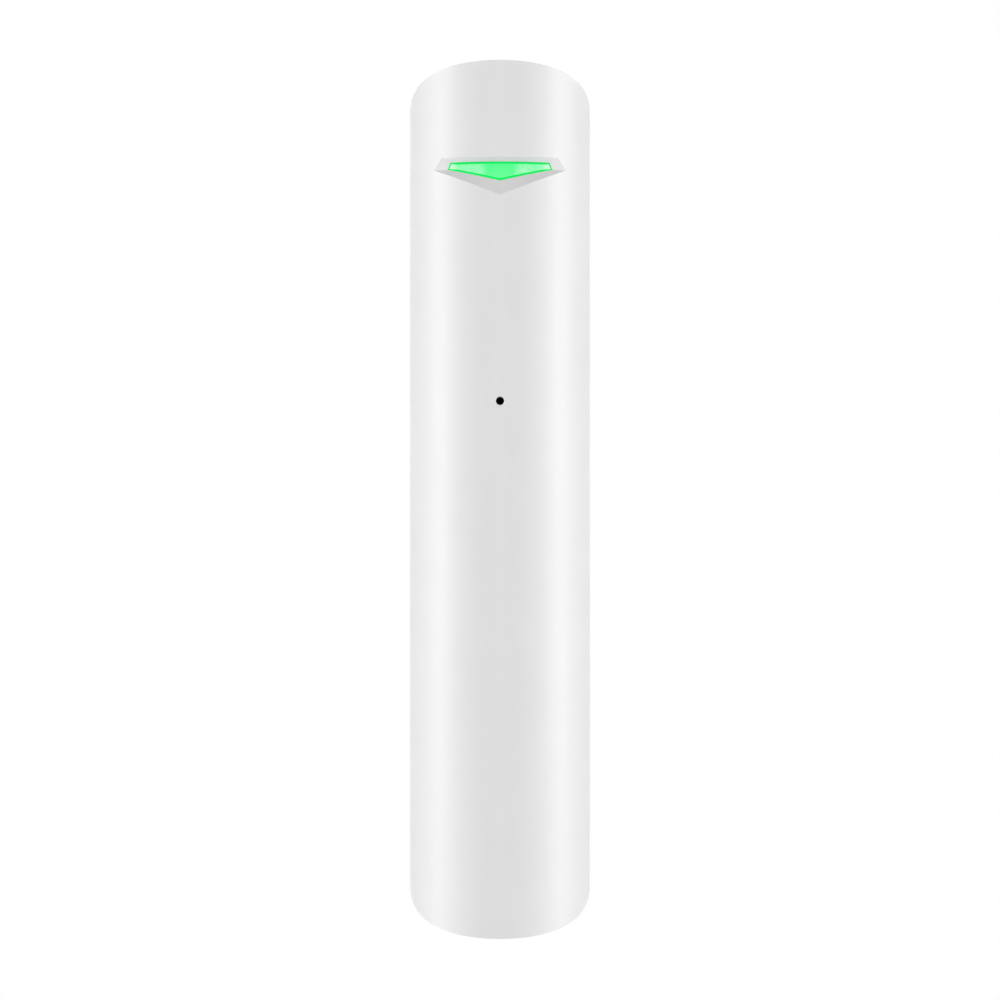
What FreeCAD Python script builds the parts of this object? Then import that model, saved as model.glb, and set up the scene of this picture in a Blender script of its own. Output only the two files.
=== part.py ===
import FreeCAD, Part
import math
import os
import Sketcher
from FreeCAD import Placement, Rotation, Vector

# Slim wireless glass break sensor on its wall bracket, in millimetres.
# X runs to the right, Z up and the wall is the plane Y = 0, so the front looks along -Y.
# The origin is the middle of the bracket's back face.

doc = FreeCAD.newDocument("glass_break_sensor")
sheet = doc.addObject("Spreadsheet::Sheet", "sheet")
fits = doc.addObject("App::VarSet", "fits")

SIZES = {
    # Cell and housing
    "cell_diameter": 17,  # diameter of the lithium cell
    "cell_length": 34.5,  # length of the cell with its positive nub
    "cell_clearance": 0.15,  # space round the cell
    "cell_round": 0.6,  # rounding of the can's two rims
    "nub_radius": 3.2,  # radius of the positive nub
    "nub_height": 1,  # height of the positive nub
    "crimp_depth": 0.35,  # depth of the crimped groove in the can
    "crimp_width": 1.2,  # width of the crimped groove in the can
    "crimp_drop": 2.6,  # from the can's shoulder down to the groove
    "front_wall": 1.05,  # wall of the front cover
    "rear_wall": 1,  # wall of the rear cover
    "lower_room": 4.14,  # from the board's lower end to the cell
    "upper_room": 30.04,  # from the cell to the board's upper end
    "end_radius": 32.62,  # radius of the bowed ends, seen from the side
    "front_tilt": 17.6,  # slope of an end at the front line, in degrees
    "rear_tilt": 36.8,  # slope of an end from the widest line back, in degrees
    "side_draft": 1.8,  # draft of the sides, in degrees
    "seam_height": 3.9,  # from the back of the rear cover to the seam
    "seam_split": 0.5,  # from the skin to the tongue of the seam
    "tongue_length": 0.7,  # length of the front cover's tongue
    "tongue_gap": 0.08,  # space round the tongue
    "rear_round": 1.6,  # rounding of the back edges
    "seam_chamfer": 0.12,  # chamfer of both covers along the seam
    "latch_length": 5,  # length of a latch bead on the tongue
    "latch_width": 0.25,  # width of a latch bead
    "latch_proud": 0.22,  # how far a latch bead stands out of the tongue
    "latch_spacing": 40,  # distance between the two beads of one side
    "overshoot": 1,  # how far cutting shapes stand past what they cut
    # Indicator window and its bevelled recess in the skin
    "recess_rise": 3.2,  # from the lamp up to the top of the recess
    "recess_top_half": 6.13,  # half width of the recess along its top
    "recess_side_half": 6.92,  # half width of the recess at its side corners
    "recess_side_drop": 1.25,  # from the top of the recess to its side corners
    "recess_apex_drop": 4.05,  # from the top of the recess to its lower point
    "recess_depth": 0.5,  # from the skin to the face of the window
    "window_drop": 0.48,  # from the top of the recess to the window
    "window_top_half": 5.24,  # half width of the window along its top
    "window_side_half": 5.58,  # half width of the window at its side corners
    "window_side_drop": 0.74,  # from the top of the window to its side corners
    "window_apex_drop": 2.03,  # from the top of the window to its lower point
    "side_spread": 1.3,  # share of a margin round the window at its side corners
    "apex_spread": 1.2,  # share of a margin round the window at its lower point
    "window_gap": 0.02,  # space round the window in its opening
    "guide_gap": 0.05,  # space between the light guide's flange and the cover
    "flange_margin": 0.9,  # how far the flange stands out round the window
    "flange_back": 2,  # thickness of the flange behind its side corners
    "stem_width": 4.4,  # width of the light guide's stem
    "stem_foot": 2.2,  # height of the stem's foot
    "led_gap": 0.3,  # space between the lamp and the stem
    # Microphone
    "port_radius": 0.44,  # radius of the sound port
    "port_rim": 0.1,  # chamfer round the sound port
    "port_rise": 6.1,  # from the cell up to the sound port
    "seat_land": 0.12,  # how far the microphone's flat seat stands in from the inner skin
    "capsule_radius": 3,  # radius of the microphone capsule
    "capsule_length": 2.2,  # length of the microphone capsule
    "capsule_gap": 0.04,  # space round the capsule, the boot and the mesh
    "capsule_port_depth": 0.55,  # depth of the sound port in the capsule
    "boot_wall": 0.5,  # wall of the rubber boot
    "boot_floor": 0.4,  # floor of the rubber boot
    "boot_opening": 1,  # radius of the opening in the boot's floor
    "boot_lip": 0.35,  # how far the boot stands behind the capsule
    "mesh_thickness": 0.12,  # thickness of the acoustic mesh
    "collar_wall": 0.6,  # wall of the collar round the boot
    "collar_length": 2.4,  # length of the collar from its seat
    "lead_radius": 0.23,  # radius of a microphone lead
    "lead_pitch": 2.54,  # distance between the two leads
    "lead_tail": 0.4,  # how far the leads stand out behind the board
    "lead_gap": 0.1,  # space round a lead in the board
    # Circuit board and what it carries
    "board_thickness": 1,  # thickness of the board
    "board_rise": 1.3,  # from the rear cover's floor to the board
    "board_clearance": 0.2,  # space round the board
    "board_round": 1.2,  # rounding of the board's corners
    "cutout_clearance": 0.25,  # space round the cell in the board's cut-out
    "post_radius": 1.5,  # radius of a board post
    "post_inset": 1.67,  # from the board's long edges to the posts
    "post_inset_high": 3.84,  # from the board's upper end to the upper posts
    "post_inset_low": 2.14,  # from the board's lower end to the lower posts
    "pilot_radius": 0.65,  # radius of the pilot hole in a post
    "pilot_depth": 1.7,  # depth of the pilot hole
    "screw_head_radius": 1.4,  # radius of a board screw's head
    "screw_head_height": 0.9,  # height of a board screw's head
    "screw_slot": 0.35,  # width and depth of the cross in a screw's head
    "screw_cross": 1.96,  # length of the cross in a screw's head
    "thread_gap": 0.01,  # between a screw's shank and its pilot hole
    "screw_clearance": 0.15,  # space round a screw in the board
    "support_width": 1.2,  # thickness of the two plain supports
    "support_length": 3,  # length of the two plain supports
    "support_inset": 1.27,  # from the board's long edges to the plain supports
    "support_rise": 3.7,  # from the cell up to the plain supports
    "led_width": 3,  # width of the indicator lamp
    "led_height": 1.8,  # height of the indicator lamp
    "led_depth": 0.6,  # depth of the indicator lamp's base
    "led_lens_radius": 0.7,  # radius of the indicator lamp's lens
    "led_lens_depth": 0.5,  # depth of the indicator lamp's lens
    "led_inset": 1.39,  # from the board's upper end to the lamp
    "shield_screw_gap": 0.2,  # between the left screws' heads and the shielding can's side
    "shield_length": 7,  # length of the radio's shielding can
    "shield_depth": 2,  # depth of the radio's shielding can
    "shield_wall": 0.2,  # sheet of the radio's shielding can
    "shield_round": 0.5,  # rounding of the shielding can
    "shield_side_gap": 0.6,  # between the shielding can and the storage capacitor
    "shield_gap": 2.05,  # from the lamp down to the shielding can
    "shield_slot_width": 0.6,  # width of the slots in the shielding can
    "shield_slot_length": 3.2,  # length of the slots in the shielding can
    "shield_pitch": 1.8,  # distance between the slots in the shielding can
    "chip_width": 4.2,  # side of the microcontroller
    "chip_depth": 0.9,  # depth of the microcontroller
    "chip_inset": 2.67,  # from the board's left edge to the middle of the microcontroller
    "chip_rise": 1.8,  # from the sound port up to the microcontroller
    "amplifier_width": 2.6,  # width of the amplifier's body
    "amplifier_length": 4.6,  # length of the amplifier's body
    "amplifier_depth": 1.2,  # depth of the amplifier's body
    "amplifier_inset": 3.07,  # from the board's right edge to the middle of the amplifier
    "amplifier_rise": 2.2,  # from the sound port up to the amplifier
    "pin_pitch": 1.1,  # distance between the amplifier's pins
    "pin_width": 0.4,  # width of an amplifier pin
    "pin_reach": 0.5,  # how far the pins stand out
    "pin_sheet": 0.2,  # sheet of the pins
    "crystal_width": 3.2,  # width of the crystal's can
    "crystal_height": 1.8,  # height of the crystal's can
    "crystal_depth": 0.9,  # depth of the crystal's can
    "crystal_round": 0.35,  # rounding of the crystal's can
    "crystal_gap": 0.6,  # between the microcontroller and the crystal
    "chip_cap_width": 1.2,  # width of a chip capacitor
    "chip_cap_height": 0.7,  # height of a chip capacitor
    "chip_cap_pitch": 1.7,  # distance between two chip capacitors side by side
    "chip_cap_rows": 1.19,  # distance between the two rows of chip capacitors
    "chip_cap_inset": 2.47,  # from the board's left edge to the middle of the chip capacitors
    "chip_cap_gap": 1.21,  # between the shielding can and the chip capacitors
    "storage_radius": 2.5,  # radius of the storage capacitor
    "storage_length": 5.6,  # length of the storage capacitor
    "storage_base_width": 5.1,  # side of the storage capacitor's base
    "storage_base": 0.5,  # thickness of the storage capacitor's base
    "storage_inset": 3.57,  # from the board's right edge to the middle of the storage capacitor
    "storage_drop": 1.1,  # from the middle of the shielding can down to the storage capacitor
    "antenna_sheet": 0.3,  # sheet of the antenna
    "antenna_inset": 0.87,  # from the board's right edge to the antenna
    "antenna_rise_z": 3.7,  # from the cell up to the antenna
    "antenna_length": 13.5,  # length of the antenna
    "antenna_rise": 1.6,  # from the board to the antenna's strip
    "antenna_strip": 2,  # width of the antenna's strip
    "antenna_foot": 1,  # width of the antenna's feet
    "antenna_step": 3,  # from one foot of the antenna to the other
    # Cell holders and contacts
    "contact_sheet": 0.3,  # sheet of the contacts
    "contact_width": 5,  # width of the contacts
    "contact_gap": 0.05,  # space between the cell and a contact, and behind a contact
    "contact_reach": 10,  # how far the contacts stand out from the board
    "foot_length": 2.2,  # length of the contacts' feet on the board
    "spring_reach": 1.5,  # how far the negative spring stands out to the cell
    "spring_flat": 0.6,  # width of the negative spring's contact face
    "holder_wall": 1.3,  # thickness of the cell holders
    "holder_width": 8.6,  # width of the cell holders
    "holder_reach": 8.4,  # how far the holders stand out from the board
    "holder_round": 2,  # rounding of the holders' free corners
    "rib_width": 1.2,  # thickness of the cradle's ribs
    "rib_half": 5.4,  # half length of the cradle's ribs
    "rib_drop": 6.8,  # from the cell's positive end down to the highest rib
    "rib_pitch": 7.5,  # distance between the two upper ribs
    "rib_rise": 3.2,  # from the cell's negative end up to the lowest rib
    # Tamper switch
    "tamper_gap": 1.3,  # between the shielding can and the tamper switch
    "tamper_width": 6.4,  # width of the tamper switch
    "tamper_length": 5.4,  # length of the tamper switch
    "tamper_depth": 4.4,  # depth of the tamper switch
    "tamper_lip": 0.5,  # lip that holds the plunger's collar
    "tamper_crown": 0.4,  # closed wall over the tamper spring
    "plunger_radius": 1,  # radius of the tamper plunger
    "plunger_gap": 0.15,  # space round the tamper plunger in its switch
    "plunger_board_gap": 0.3,  # space round the tamper plunger in the board
    "plunger_cover_gap": 0.45,  # space round the tamper plunger in the rear cover
    "plunger_collar": 0.45,  # how far the plunger's collar stands out
    "collar_depth": 0.6,  # depth of the plunger's collar
    "running_gap": 0.05,  # space between pieces that slide or seat
    "plunger_dome": 0.3,  # rounding of the plunger's tip
    "plunger_pin": 0.45,  # radius of the plunger's pin inside the spring
    "plunger_pin_length": 1,  # length of the plunger's pin inside the spring
    "spring_wire": 0.15,  # radius of the spring's wire
    "spring_turns": 3,  # turns of the tamper spring
    # Enrolment button behind the rear cover
    "enrol_drop": 0.3,  # from the middle of the shielding can down to the enrolment key
    "enrol_side": 5,  # side of the enrolment switch
    "enrol_depth": 0.65,  # depth of the enrolment switch
    "enrol_well": 0.5,  # depth of the well in the enrolment switch
    "key_radius": 1.7,  # radius of the enrolment key
    "key_collar": 0.5,  # how far the key's collar stands out
    "key_collar_depth": 0.22,  # depth of the key's collar
    "key_sink": 0.3,  # from the rear cover's back down to the key
    "key_stem": 0.8,  # radius of the key's stem
    "key_stem_length": 0.5,  # length of the key's stem
    "key_gap": 0.12,  # space round the key and its stem
    # Wall bracket
    "bracket_thickness": 1.2,  # thickness of the bracket's plate
    "bracket_gap": 0.1,  # space between the bracket and the rear cover
    "bracket_inset": 1.7,  # from the rear cover's edges to the bracket's edge
    "bracket_round": 3,  # rounding of the bracket's corners
    "bracket_edge": 0.3,  # chamfer round the bracket's front edge
    "hook_width": 3,  # width of a hook
    "hook_inset": 2.1,  # from the bracket's long edges to the hooks
    "hook_stem": 1.2,  # height of a hook's stem
    "hook_lip": 3.2,  # how far a hook's lip stands up
    "hook_lip_depth": 0.8,  # thickness of a hook's lip
    "hook_rise_high": 3,  # from the tamper plunger up to the upper slots' top edge
    "hook_rise_low": 12.2,  # from the cell's negative end up to the lower slots' top edge
    "hook_travel": 4,  # how far the sensor is lifted off its hooks
    "slot_gap": 0.25,  # space beside a hook in its slot
    "wall_screw_radius": 1.75,  # radius of the holes for the wall screws
    "countersink_radius": 3.1,  # radius of the countersinks
    "countersink_depth": 0.5,  # depth of the countersinks
    "wall_screw_inset": 3.9,  # from the bracket's ends to the wall screws
    "tab_half": 4,  # half width of the break-away tab
    "tab_length": 11,  # length of the break-away tab
    "tab_slot": 0.8,  # width of the slot round the break-away tab
    "tab_bridge": 1.2,  # width of the bridges that hold the tab
    "tab_hole_radius": 1.4,  # radius of the screw hole in the tab
    "tab_hole_drop": 5.6,  # from the tamper plunger down to the tab's screw hole
}

for row, (name, value) in enumerate(SIZES.items(), start=1):
    sheet.set("A%d" % row, name)
    sheet.set("B%d" % row, str(value))
    sheet.setAlias("B%d" % row, name)
doc.recompute()


def fit(name, expression):
    """Adds a size that follows from others."""
    fits.addProperty("App::PropertyFloat", name, "Fits")
    fits.setExpression(name, expression)


def number(expression):
    """The present value of an expression."""
    return float(fits.evalExpression(expression))


# The housing's section
fit("radius", "sheet.cell_diameter / 2 + sheet.cell_clearance + sheet.front_wall")
fit("rear_y", "-(sheet.bracket_thickness + sheet.bracket_gap)")
fit("floor_y", "fits.rear_y - sheet.rear_wall")
fit("axis_y", "fits.floor_y - sheet.cell_clearance - sheet.cell_diameter / 2")
fit("front_y", "fits.axis_y - fits.radius")
fit("seam_y", "fits.rear_y - sheet.seam_height")
# The board, and what stands in line along it
fit("board_back_y", "fits.floor_y - sheet.board_rise")
fit("board_front_y", "fits.board_back_y - sheet.board_thickness")
fit("board_half",
    "fits.radius - sheet.rear_wall - sheet.board_clearance"
    " - tan(sheet.side_draft) * (fits.board_back_y - fits.axis_y)")
fit("board_end", "(sheet.lower_room + sheet.cell_length + sheet.upper_room) / 2")
fit("cell_bottom", "sheet.lower_room - fits.board_end")
fit("cell_top", "fits.cell_bottom + sheet.cell_length")
fit("port_z", "fits.cell_top + sheet.port_rise")
fit("chip_z", "fits.port_z + sheet.chip_rise")
fit("amplifier_z", "fits.port_z + sheet.amplifier_rise")
fit("crystal_z",
    "fits.chip_z + sheet.chip_width / 2 + sheet.crystal_gap + sheet.crystal_height / 2")
fit("antenna_low", "fits.cell_top + sheet.antenna_rise_z")
fit("support_z", "fits.cell_top + sheet.support_rise")
fit("led_z", "fits.board_end - sheet.led_inset")
fit("shield_z",
    "fits.led_z - sheet.led_height / 2 - sheet.shield_gap - sheet.shield_length / 2")
fit("chip_cap_z",
    "fits.shield_z - sheet.shield_length / 2 - sheet.chip_cap_gap - sheet.chip_cap_height / 2")
fit("storage_z", "fits.shield_z - sheet.storage_drop")
fit("enrol_z", "fits.shield_z - sheet.enrol_drop")
fit("tamper_z",
    "fits.shield_z - sheet.shield_length / 2 - sheet.tamper_gap - sheet.tamper_length / 2")
fit("post_x", "fits.board_half - sheet.post_inset")
fit("chip_x", "sheet.chip_inset - fits.board_half")
fit("chip_cap_x", "sheet.chip_cap_inset - fits.board_half")
fit("amplifier_x", "fits.board_half - sheet.amplifier_inset")
fit("storage_x", "fits.board_half - sheet.storage_inset")
fit("shield_left", "sheet.screw_head_radius + sheet.shield_screw_gap - fits.post_x")
fit("shield_right", "fits.storage_x - sheet.storage_radius - sheet.shield_side_gap")
fit("post_high", "fits.board_end - sheet.post_inset_high")
fit("post_low", "sheet.post_inset_low - fits.board_end")
fit("hook_high", "fits.tamper_z + sheet.hook_rise_high")
fit("hook_low", "fits.cell_bottom + sheet.hook_rise_low")
# The housing's ends: an arc from the front line to the widest line, then its tangent, which
# just clears the board's end
fit("arc_y", "fits.front_y - sheet.end_radius * sin(sheet.front_tilt)")
fit("arc_z",
    "fits.board_end + tan(sheet.rear_tilt) * (fits.board_back_y - fits.arc_y)"
    " - (sheet.end_radius - sheet.rear_wall - sheet.board_clearance) / cos(sheet.rear_tilt)")
fit("tip_z", "fits.arc_z + sheet.end_radius * cos(sheet.front_tilt)")
fit("cutout_half",
    "sqrt((sheet.cell_diameter / 2) ^ 2 - (fits.board_front_y - fits.axis_y) ^ 2)"
    " + sheet.cutout_clearance")
# The recess and the window
fit("recess_top_z", "fits.led_z + sheet.recess_rise")
fit("window_top_z", "fits.recess_top_z - sheet.window_drop")
fit("led_front_y", "fits.board_front_y - sheet.led_depth - sheet.led_lens_depth")
# The microphone, from its seat back
fit("boot_radius", "sheet.capsule_radius + sheet.capsule_gap + sheet.boot_wall")
fit("collar_bore", "fits.boot_radius + sheet.capsule_gap")
fit("seat_y",
    "fits.axis_y - sqrt((fits.radius - sheet.front_wall) ^ 2 - fits.collar_bore ^ 2)"
    " + sheet.seat_land")
fit("boot_y", "fits.seat_y + sheet.mesh_thickness")
fit("capsule_y", "fits.boot_y + sheet.boot_floor")
fit("capsule_back_y", "fits.capsule_y + sheet.capsule_length")
# The tamper switch and its plunger
fit("plunger_tip_y", "-(sheet.bracket_thickness + sheet.running_gap)")
fit("collar_back_y", "fits.board_front_y - sheet.tamper_lip - sheet.running_gap")
fit("collar_front_y", "fits.collar_back_y - sheet.collar_depth")
fit("chamber_radius", "sheet.plunger_radius + sheet.plunger_collar + sheet.plunger_gap")
fit("chamber_front_y", "fits.board_front_y - sheet.tamper_depth + sheet.tamper_crown")
# The enrolment switch and its key
fit("enrol_face_y", "fits.board_back_y + sheet.enrol_depth")
fit("key_back_y", "fits.rear_y - sheet.key_sink")
fit("key_collar_y", "fits.floor_y - sheet.running_gap")
# The bracket
fit("lip_back_y", "fits.floor_y - sheet.bracket_gap")
fit("hook_front_y", "fits.lip_back_y - sheet.hook_lip_depth")
fit("slot_height", "sheet.hook_stem + sheet.hook_travel + sheet.slot_gap")

doc.recompute()


def end_height(y, inset):
    """Height of an end's straight part at a depth y, set in from the skin."""
    return ("(fits.arc_z + (sheet.end_radius - (%s)) / cos(sheet.rear_tilt)"
            " - tan(sheet.rear_tilt) * ((%s) - fits.arc_y))" % (inset, y))


def side_half(y, inset):
    """Half width of the straight sides at a depth y, set in from the skin."""
    return "(fits.radius - (%s) - tan(sheet.side_draft) * ((%s) - fits.axis_y))" % (inset, y)


def minus(expression):
    return "-(%s)" % expression


# Sketches and features

def origin_plane(body, role):
    return [plane for plane in body.Origin.OriginFeatures if plane.Role == role][0]


def sketch_on(body, role, name, offset="0"):
    """A sketch on a plane of the body's own origin, moved along the plane's normal."""
    sketch = body.newObject("Sketcher::SketchObject", name)
    sketch.AttachmentSupport = [(origin_plane(body, role), "")]
    sketch.MapMode = "FlatFace"
    sketch.setExpression("AttachmentOffset.Base.z", offset)
    return sketch


def dimension(sketch, kind, expression, *places):
    """A constraint whose value follows an expression."""
    constraint = Sketcher.Constraint(kind, *places, number(expression))
    sketch.setExpression("Constraints[%d]" % sketch.addConstraint(constraint), expression)


def pin(sketch, curve, end, across=None, up=None):
    """Fixes one point of a curve by its distances from the origin."""
    if across is not None:
        dimension(sketch, "DistanceX", across, -1, 1, curve, end)
    if up is not None:
        dimension(sketch, "DistanceY", up, -1, 1, curve, end)


def join(sketch, *pairs):
    """Joins the end of one curve to the start of another, for each pair."""
    for first, first_end, second, second_end in pairs:
        sketch.addConstraint(Sketcher.Constraint("Coincident", first, first_end, second, second_end))


def line(sketch, start, end):
    return sketch.addGeometry(Part.LineSegment(Vector(*start, 0), Vector(*end, 0)), False)


def polygon(sketch, corners):
    """A closed outline with straight sides, each corner at its two expressions."""
    points = [(number(across), number(up)) for across, up in corners]
    count = len(points)
    lines = [line(sketch, points[i], points[(i + 1) % count]) for i in range(count)]
    join(sketch, *[(lines[i], 2, lines[(i + 1) % count], 1) for i in range(count)])
    for curve, (across, up) in zip(lines, corners):
        pin(sketch, curve, 1, across, up)


def rectangle(sketch, left, right, low, high):
    polygon(sketch, [(left, low), (right, low), (right, high), (left, high)])


def circle(sketch, across, up, radius):
    shape = Part.Circle(Vector(number(across), number(up), 0), Vector(0, 0, 1), number(radius))
    curve = sketch.addGeometry(shape, False)
    pin(sketch, curve, 3, across, up)
    dimension(sketch, "Radius", radius, curve)


def arc(sketch, across, up, radius, start, end):
    """An arc about a fixed centre, between two angles that its ends then settle."""
    whole = Part.Circle(Vector(number(across), number(up), 0), Vector(0, 0, 1), number(radius))
    curve = sketch.addGeometry(Part.ArcOfCircle(whole, start, end), False)
    pin(sketch, curve, 3, across, up)
    dimension(sketch, "Radius", radius, curve)
    return curve


def new_body(name):
    body = doc.addObject("PartDesign::Body", name)
    doc.recompute()
    return body


def pad(body, sketch, name, length, both_sides=False):
    feature = body.newObject("PartDesign::Pad", name)
    feature.Profile = sketch
    feature.setExpression("Length", length)
    feature.Midplane = both_sides
    doc.recompute()
    return feature


def pocket(body, sketch, name, length=None, towards_normal=False, both_sides=False):
    """Cuts a sketch into the body: a set length, or right through."""
    feature = body.newObject("PartDesign::Pocket", name)
    feature.Profile = sketch
    if length is None:
        feature.Type = "ThroughAll"
    else:
        feature.setExpression("Length", length)
    feature.Reversed = towards_normal
    feature.Midplane = both_sides
    before = body.Shape.Volume
    doc.recompute()
    if body.Shape.Volume > before - 1e-6:
        raise ValueError("%s cuts nothing" % name)
    return feature


def turned(body, sketch, name, profile, height):
    """Turns a profile, given as depth and radius, about an axis along Y at a height."""
    polygon(sketch, [(depth, "%s + %s" % (height, reach)) for depth, reach in profile])
    first_depth, last_depth = profile[0][0], profile[-1][0]
    axis = line(sketch, (number(first_depth), number(height)), (number(last_depth), number(height)))
    sketch.toggleConstruction(axis)
    pin(sketch, axis, 1, first_depth, height)
    pin(sketch, axis, 2, last_depth, height)
    turning = body.newObject("PartDesign::Revolution", name)
    turning.Profile = sketch
    turning.ReferenceAxis = (sketch, ["Axis0"])
    turning.Angle = 360
    doc.recompute()


def edges_where(shape, test):
    """The names of the edges that pass a test."""
    return ["Edge%d" % (i + 1) for i, edge in enumerate(shape.Edges) if test(edge)]


def near(value, target):
    return abs(value - target) < 1e-4


def runs_back(edge):
    """Whether an edge is parallel to Y."""
    return near(edge.BoundBox.XLength, 0) and near(edge.BoundBox.ZLength, 0)


def lies_at(edge, depth):
    """Whether an edge lies in the plane at a depth."""
    return near(edge.BoundBox.YMin, number(depth)) and near(edge.BoundBox.YMax, number(depth))


def soften(body, kind, name, names, expression, second=None):
    """A fillet or a chamfer on the named edges of the body; a second size makes the chamfer
    uneven."""
    base = body.Tip
    feature = body.newObject("PartDesign::%s" % kind, name)
    feature.Base = (base, names)
    feature.setExpression("Radius" if kind == "Fillet" else "Size", expression)
    if second is not None:
        feature.ChamferType = "Two distances"
        feature.setExpression("Size2", second)
    doc.recompute()
    if "Invalid" in feature.State:
        raise ValueError("%s did not compute" % name)
    return feature


def slab(name, x, back, z, width, depth, height):
    """A block centred on x and z that stands from its back face towards the front."""
    piece = doc.addObject("Part::Box", name)
    piece.setExpression("Length", width)
    piece.setExpression("Width", depth)
    piece.setExpression("Height", height)
    piece.setExpression("Placement.Base.x", "(%s) - (%s) / 2" % (x, width))
    piece.setExpression("Placement.Base.y", "(%s) - (%s)" % (back, depth))
    piece.setExpression("Placement.Base.z", "(%s) - (%s) / 2" % (z, height))
    return piece


def rod(name, x, back, z, radius, depth):
    """A cylinder that stands from its back face towards the front."""
    piece = doc.addObject("Part::Cylinder", name)
    piece.Placement = Placement(Vector(), Rotation(Vector(1, 0, 0), 90))
    piece.setExpression("Radius", radius)
    piece.setExpression("Height", depth)
    piece.setExpression("Placement.Base.x", x)
    piece.setExpression("Placement.Base.y", back)
    piece.setExpression("Placement.Base.z", z)
    return piece


def cone(name, x, back, z, back_radius, front_radius, depth):
    """A cone that stands from its back face towards the front."""
    piece = doc.addObject("Part::Cone", name)
    piece.Placement = Placement(Vector(), Rotation(Vector(1, 0, 0), 90))
    piece.setExpression("Radius1", back_radius)
    piece.setExpression("Radius2", front_radius)
    piece.setExpression("Height", depth)
    piece.setExpression("Placement.Base.x", x)
    piece.setExpression("Placement.Base.y", back)
    piece.setExpression("Placement.Base.z", z)
    return piece


def fuse(name, pieces):
    whole = doc.addObject("Part::MultiFuse", name)
    whole.Shapes = pieces
    return whole


def group(name, pieces):
    """Like pieces that lie apart and share one name."""
    whole = doc.addObject("Part::Compound", name)
    whole.Links = pieces
    return whole


def cut(name, base, tools):
    """Takes one or more tools out of a base."""
    whole = doc.addObject("Part::Cut", name)
    whole.Base = base
    whole.Tool = tools[0] if len(tools) == 1 else fuse(name + "_tools", tools)
    return whole


def common(name, first, second):
    whole = doc.addObject("Part::Common", name)
    whole.Base = first
    whole.Tool = second
    return whole


# The housing's own form, from which both covers are cut

def trim_to_section(body, name, radius, inset, rear):
    """Cuts away what lies outside a round front and drafted sides, right along the body."""
    sketch = sketch_on(body, "XY_Plane", name + "_section")
    beyond = "(%s + sheet.overshoot)" % rear
    rim = "(fits.radius + 3 * sheet.overshoot)"
    rectangle(sketch, minus(rim), rim,
              "fits.front_y - 3 * sheet.overshoot", beyond + " + sheet.overshoot")
    front = arc(sketch, "0", "fits.axis_y", radius, math.pi, 2 * math.pi)
    left, right = number(minus(radius)), number(radius)
    axis, back = number("fits.axis_y"), number(beyond)
    half = number(side_half(beyond, inset))
    right_side = line(sketch, (right, axis), (half, back))
    bottom = line(sketch, (half, back), (-half, back))
    left_side = line(sketch, (-half, back), (left, axis))
    join(sketch, (front, 2, right_side, 1), (right_side, 2, bottom, 1),
         (bottom, 2, left_side, 1), (left_side, 2, front, 1))
    pin(sketch, front, 1, None, "fits.axis_y")
    pin(sketch, front, 2, None, "fits.axis_y")
    pin(sketch, bottom, 1, side_half(beyond, inset), beyond)
    pin(sketch, bottom, 2, minus(side_half(beyond, inset)), beyond)
    pocket(body, sketch, name + "_sides", both_sides=True)


def hull(name, inset, rear):
    """The housing's form set in from its skin and ending at a depth: its side view, with the
    bowed and sloping ends, is padded across, and then trimmed to the section."""
    body = new_body(name)
    sketch = sketch_on(body, "YZ_Plane", name + "_profile")
    radius = "(sheet.end_radius - (%s))" % inset
    start = "fits.front_y - 2 * sheet.overshoot"
    tangent = "fits.arc_y + %s * sin(sheet.rear_tilt)" % radius
    rear_height = end_height(rear, inset)
    low = math.acos((number(tangent) - number("fits.arc_y")) / number(radius))
    high = math.acos((number(start) - number("fits.arc_y")) / number(radius))
    top = arc(sketch, "fits.arc_y", "fits.arc_z", radius, low, high)
    bottom = arc(sketch, "fits.arc_y", "-fits.arc_z", radius, -high, -low)
    tangent_z = number("fits.arc_z") + number(radius) * math.sin(low)
    start_z = number("fits.arc_z") + number(radius) * math.sin(high)
    back_top = (number(rear), number(rear_height))
    back_bottom = (number(rear), -number(rear_height))
    top_line = line(sketch, (number(tangent), tangent_z), back_top)
    back_line = line(sketch, back_top, back_bottom)
    bottom_line = line(sketch, back_bottom, (number(tangent), -tangent_z))
    front_line = line(sketch, (number(start), -start_z), (number(start), start_z))
    join(sketch, (top, 1, top_line, 1), (top_line, 2, back_line, 1),
         (back_line, 2, bottom_line, 1), (bottom_line, 2, bottom, 2),
         (bottom, 1, front_line, 1), (front_line, 2, top, 2))
    pin(sketch, top, 1, tangent)
    pin(sketch, top, 2, start)
    pin(sketch, bottom, 1, start)
    pin(sketch, bottom, 2, tangent)
    pin(sketch, back_line, 1, rear, rear_height)
    pin(sketch, back_line, 2, rear, minus(rear_height))
    pad(body, sketch, name + "_width", "2 * (fits.radius + sheet.overshoot)", both_sides=True)
    trim_to_section(body, name, "(fits.radius - (%s))" % inset, inset, rear)
    return body


# The recess in the skin: five bevels ruled from the window's edge out to the skin

def recess_corners():
    """The five corners at the skin, in X and Z, from the top left round to the left."""
    top = number("fits.recess_top_z")
    top_half = number("sheet.recess_top_half")
    side_half_width = number("sheet.recess_side_half")
    side = top - number("sheet.recess_side_drop")
    apex = top - number("sheet.recess_apex_drop")
    return [(-top_half, top), (top_half, top), (side_half_width, side), (0, apex),
            (-side_half_width, side)]


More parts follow.
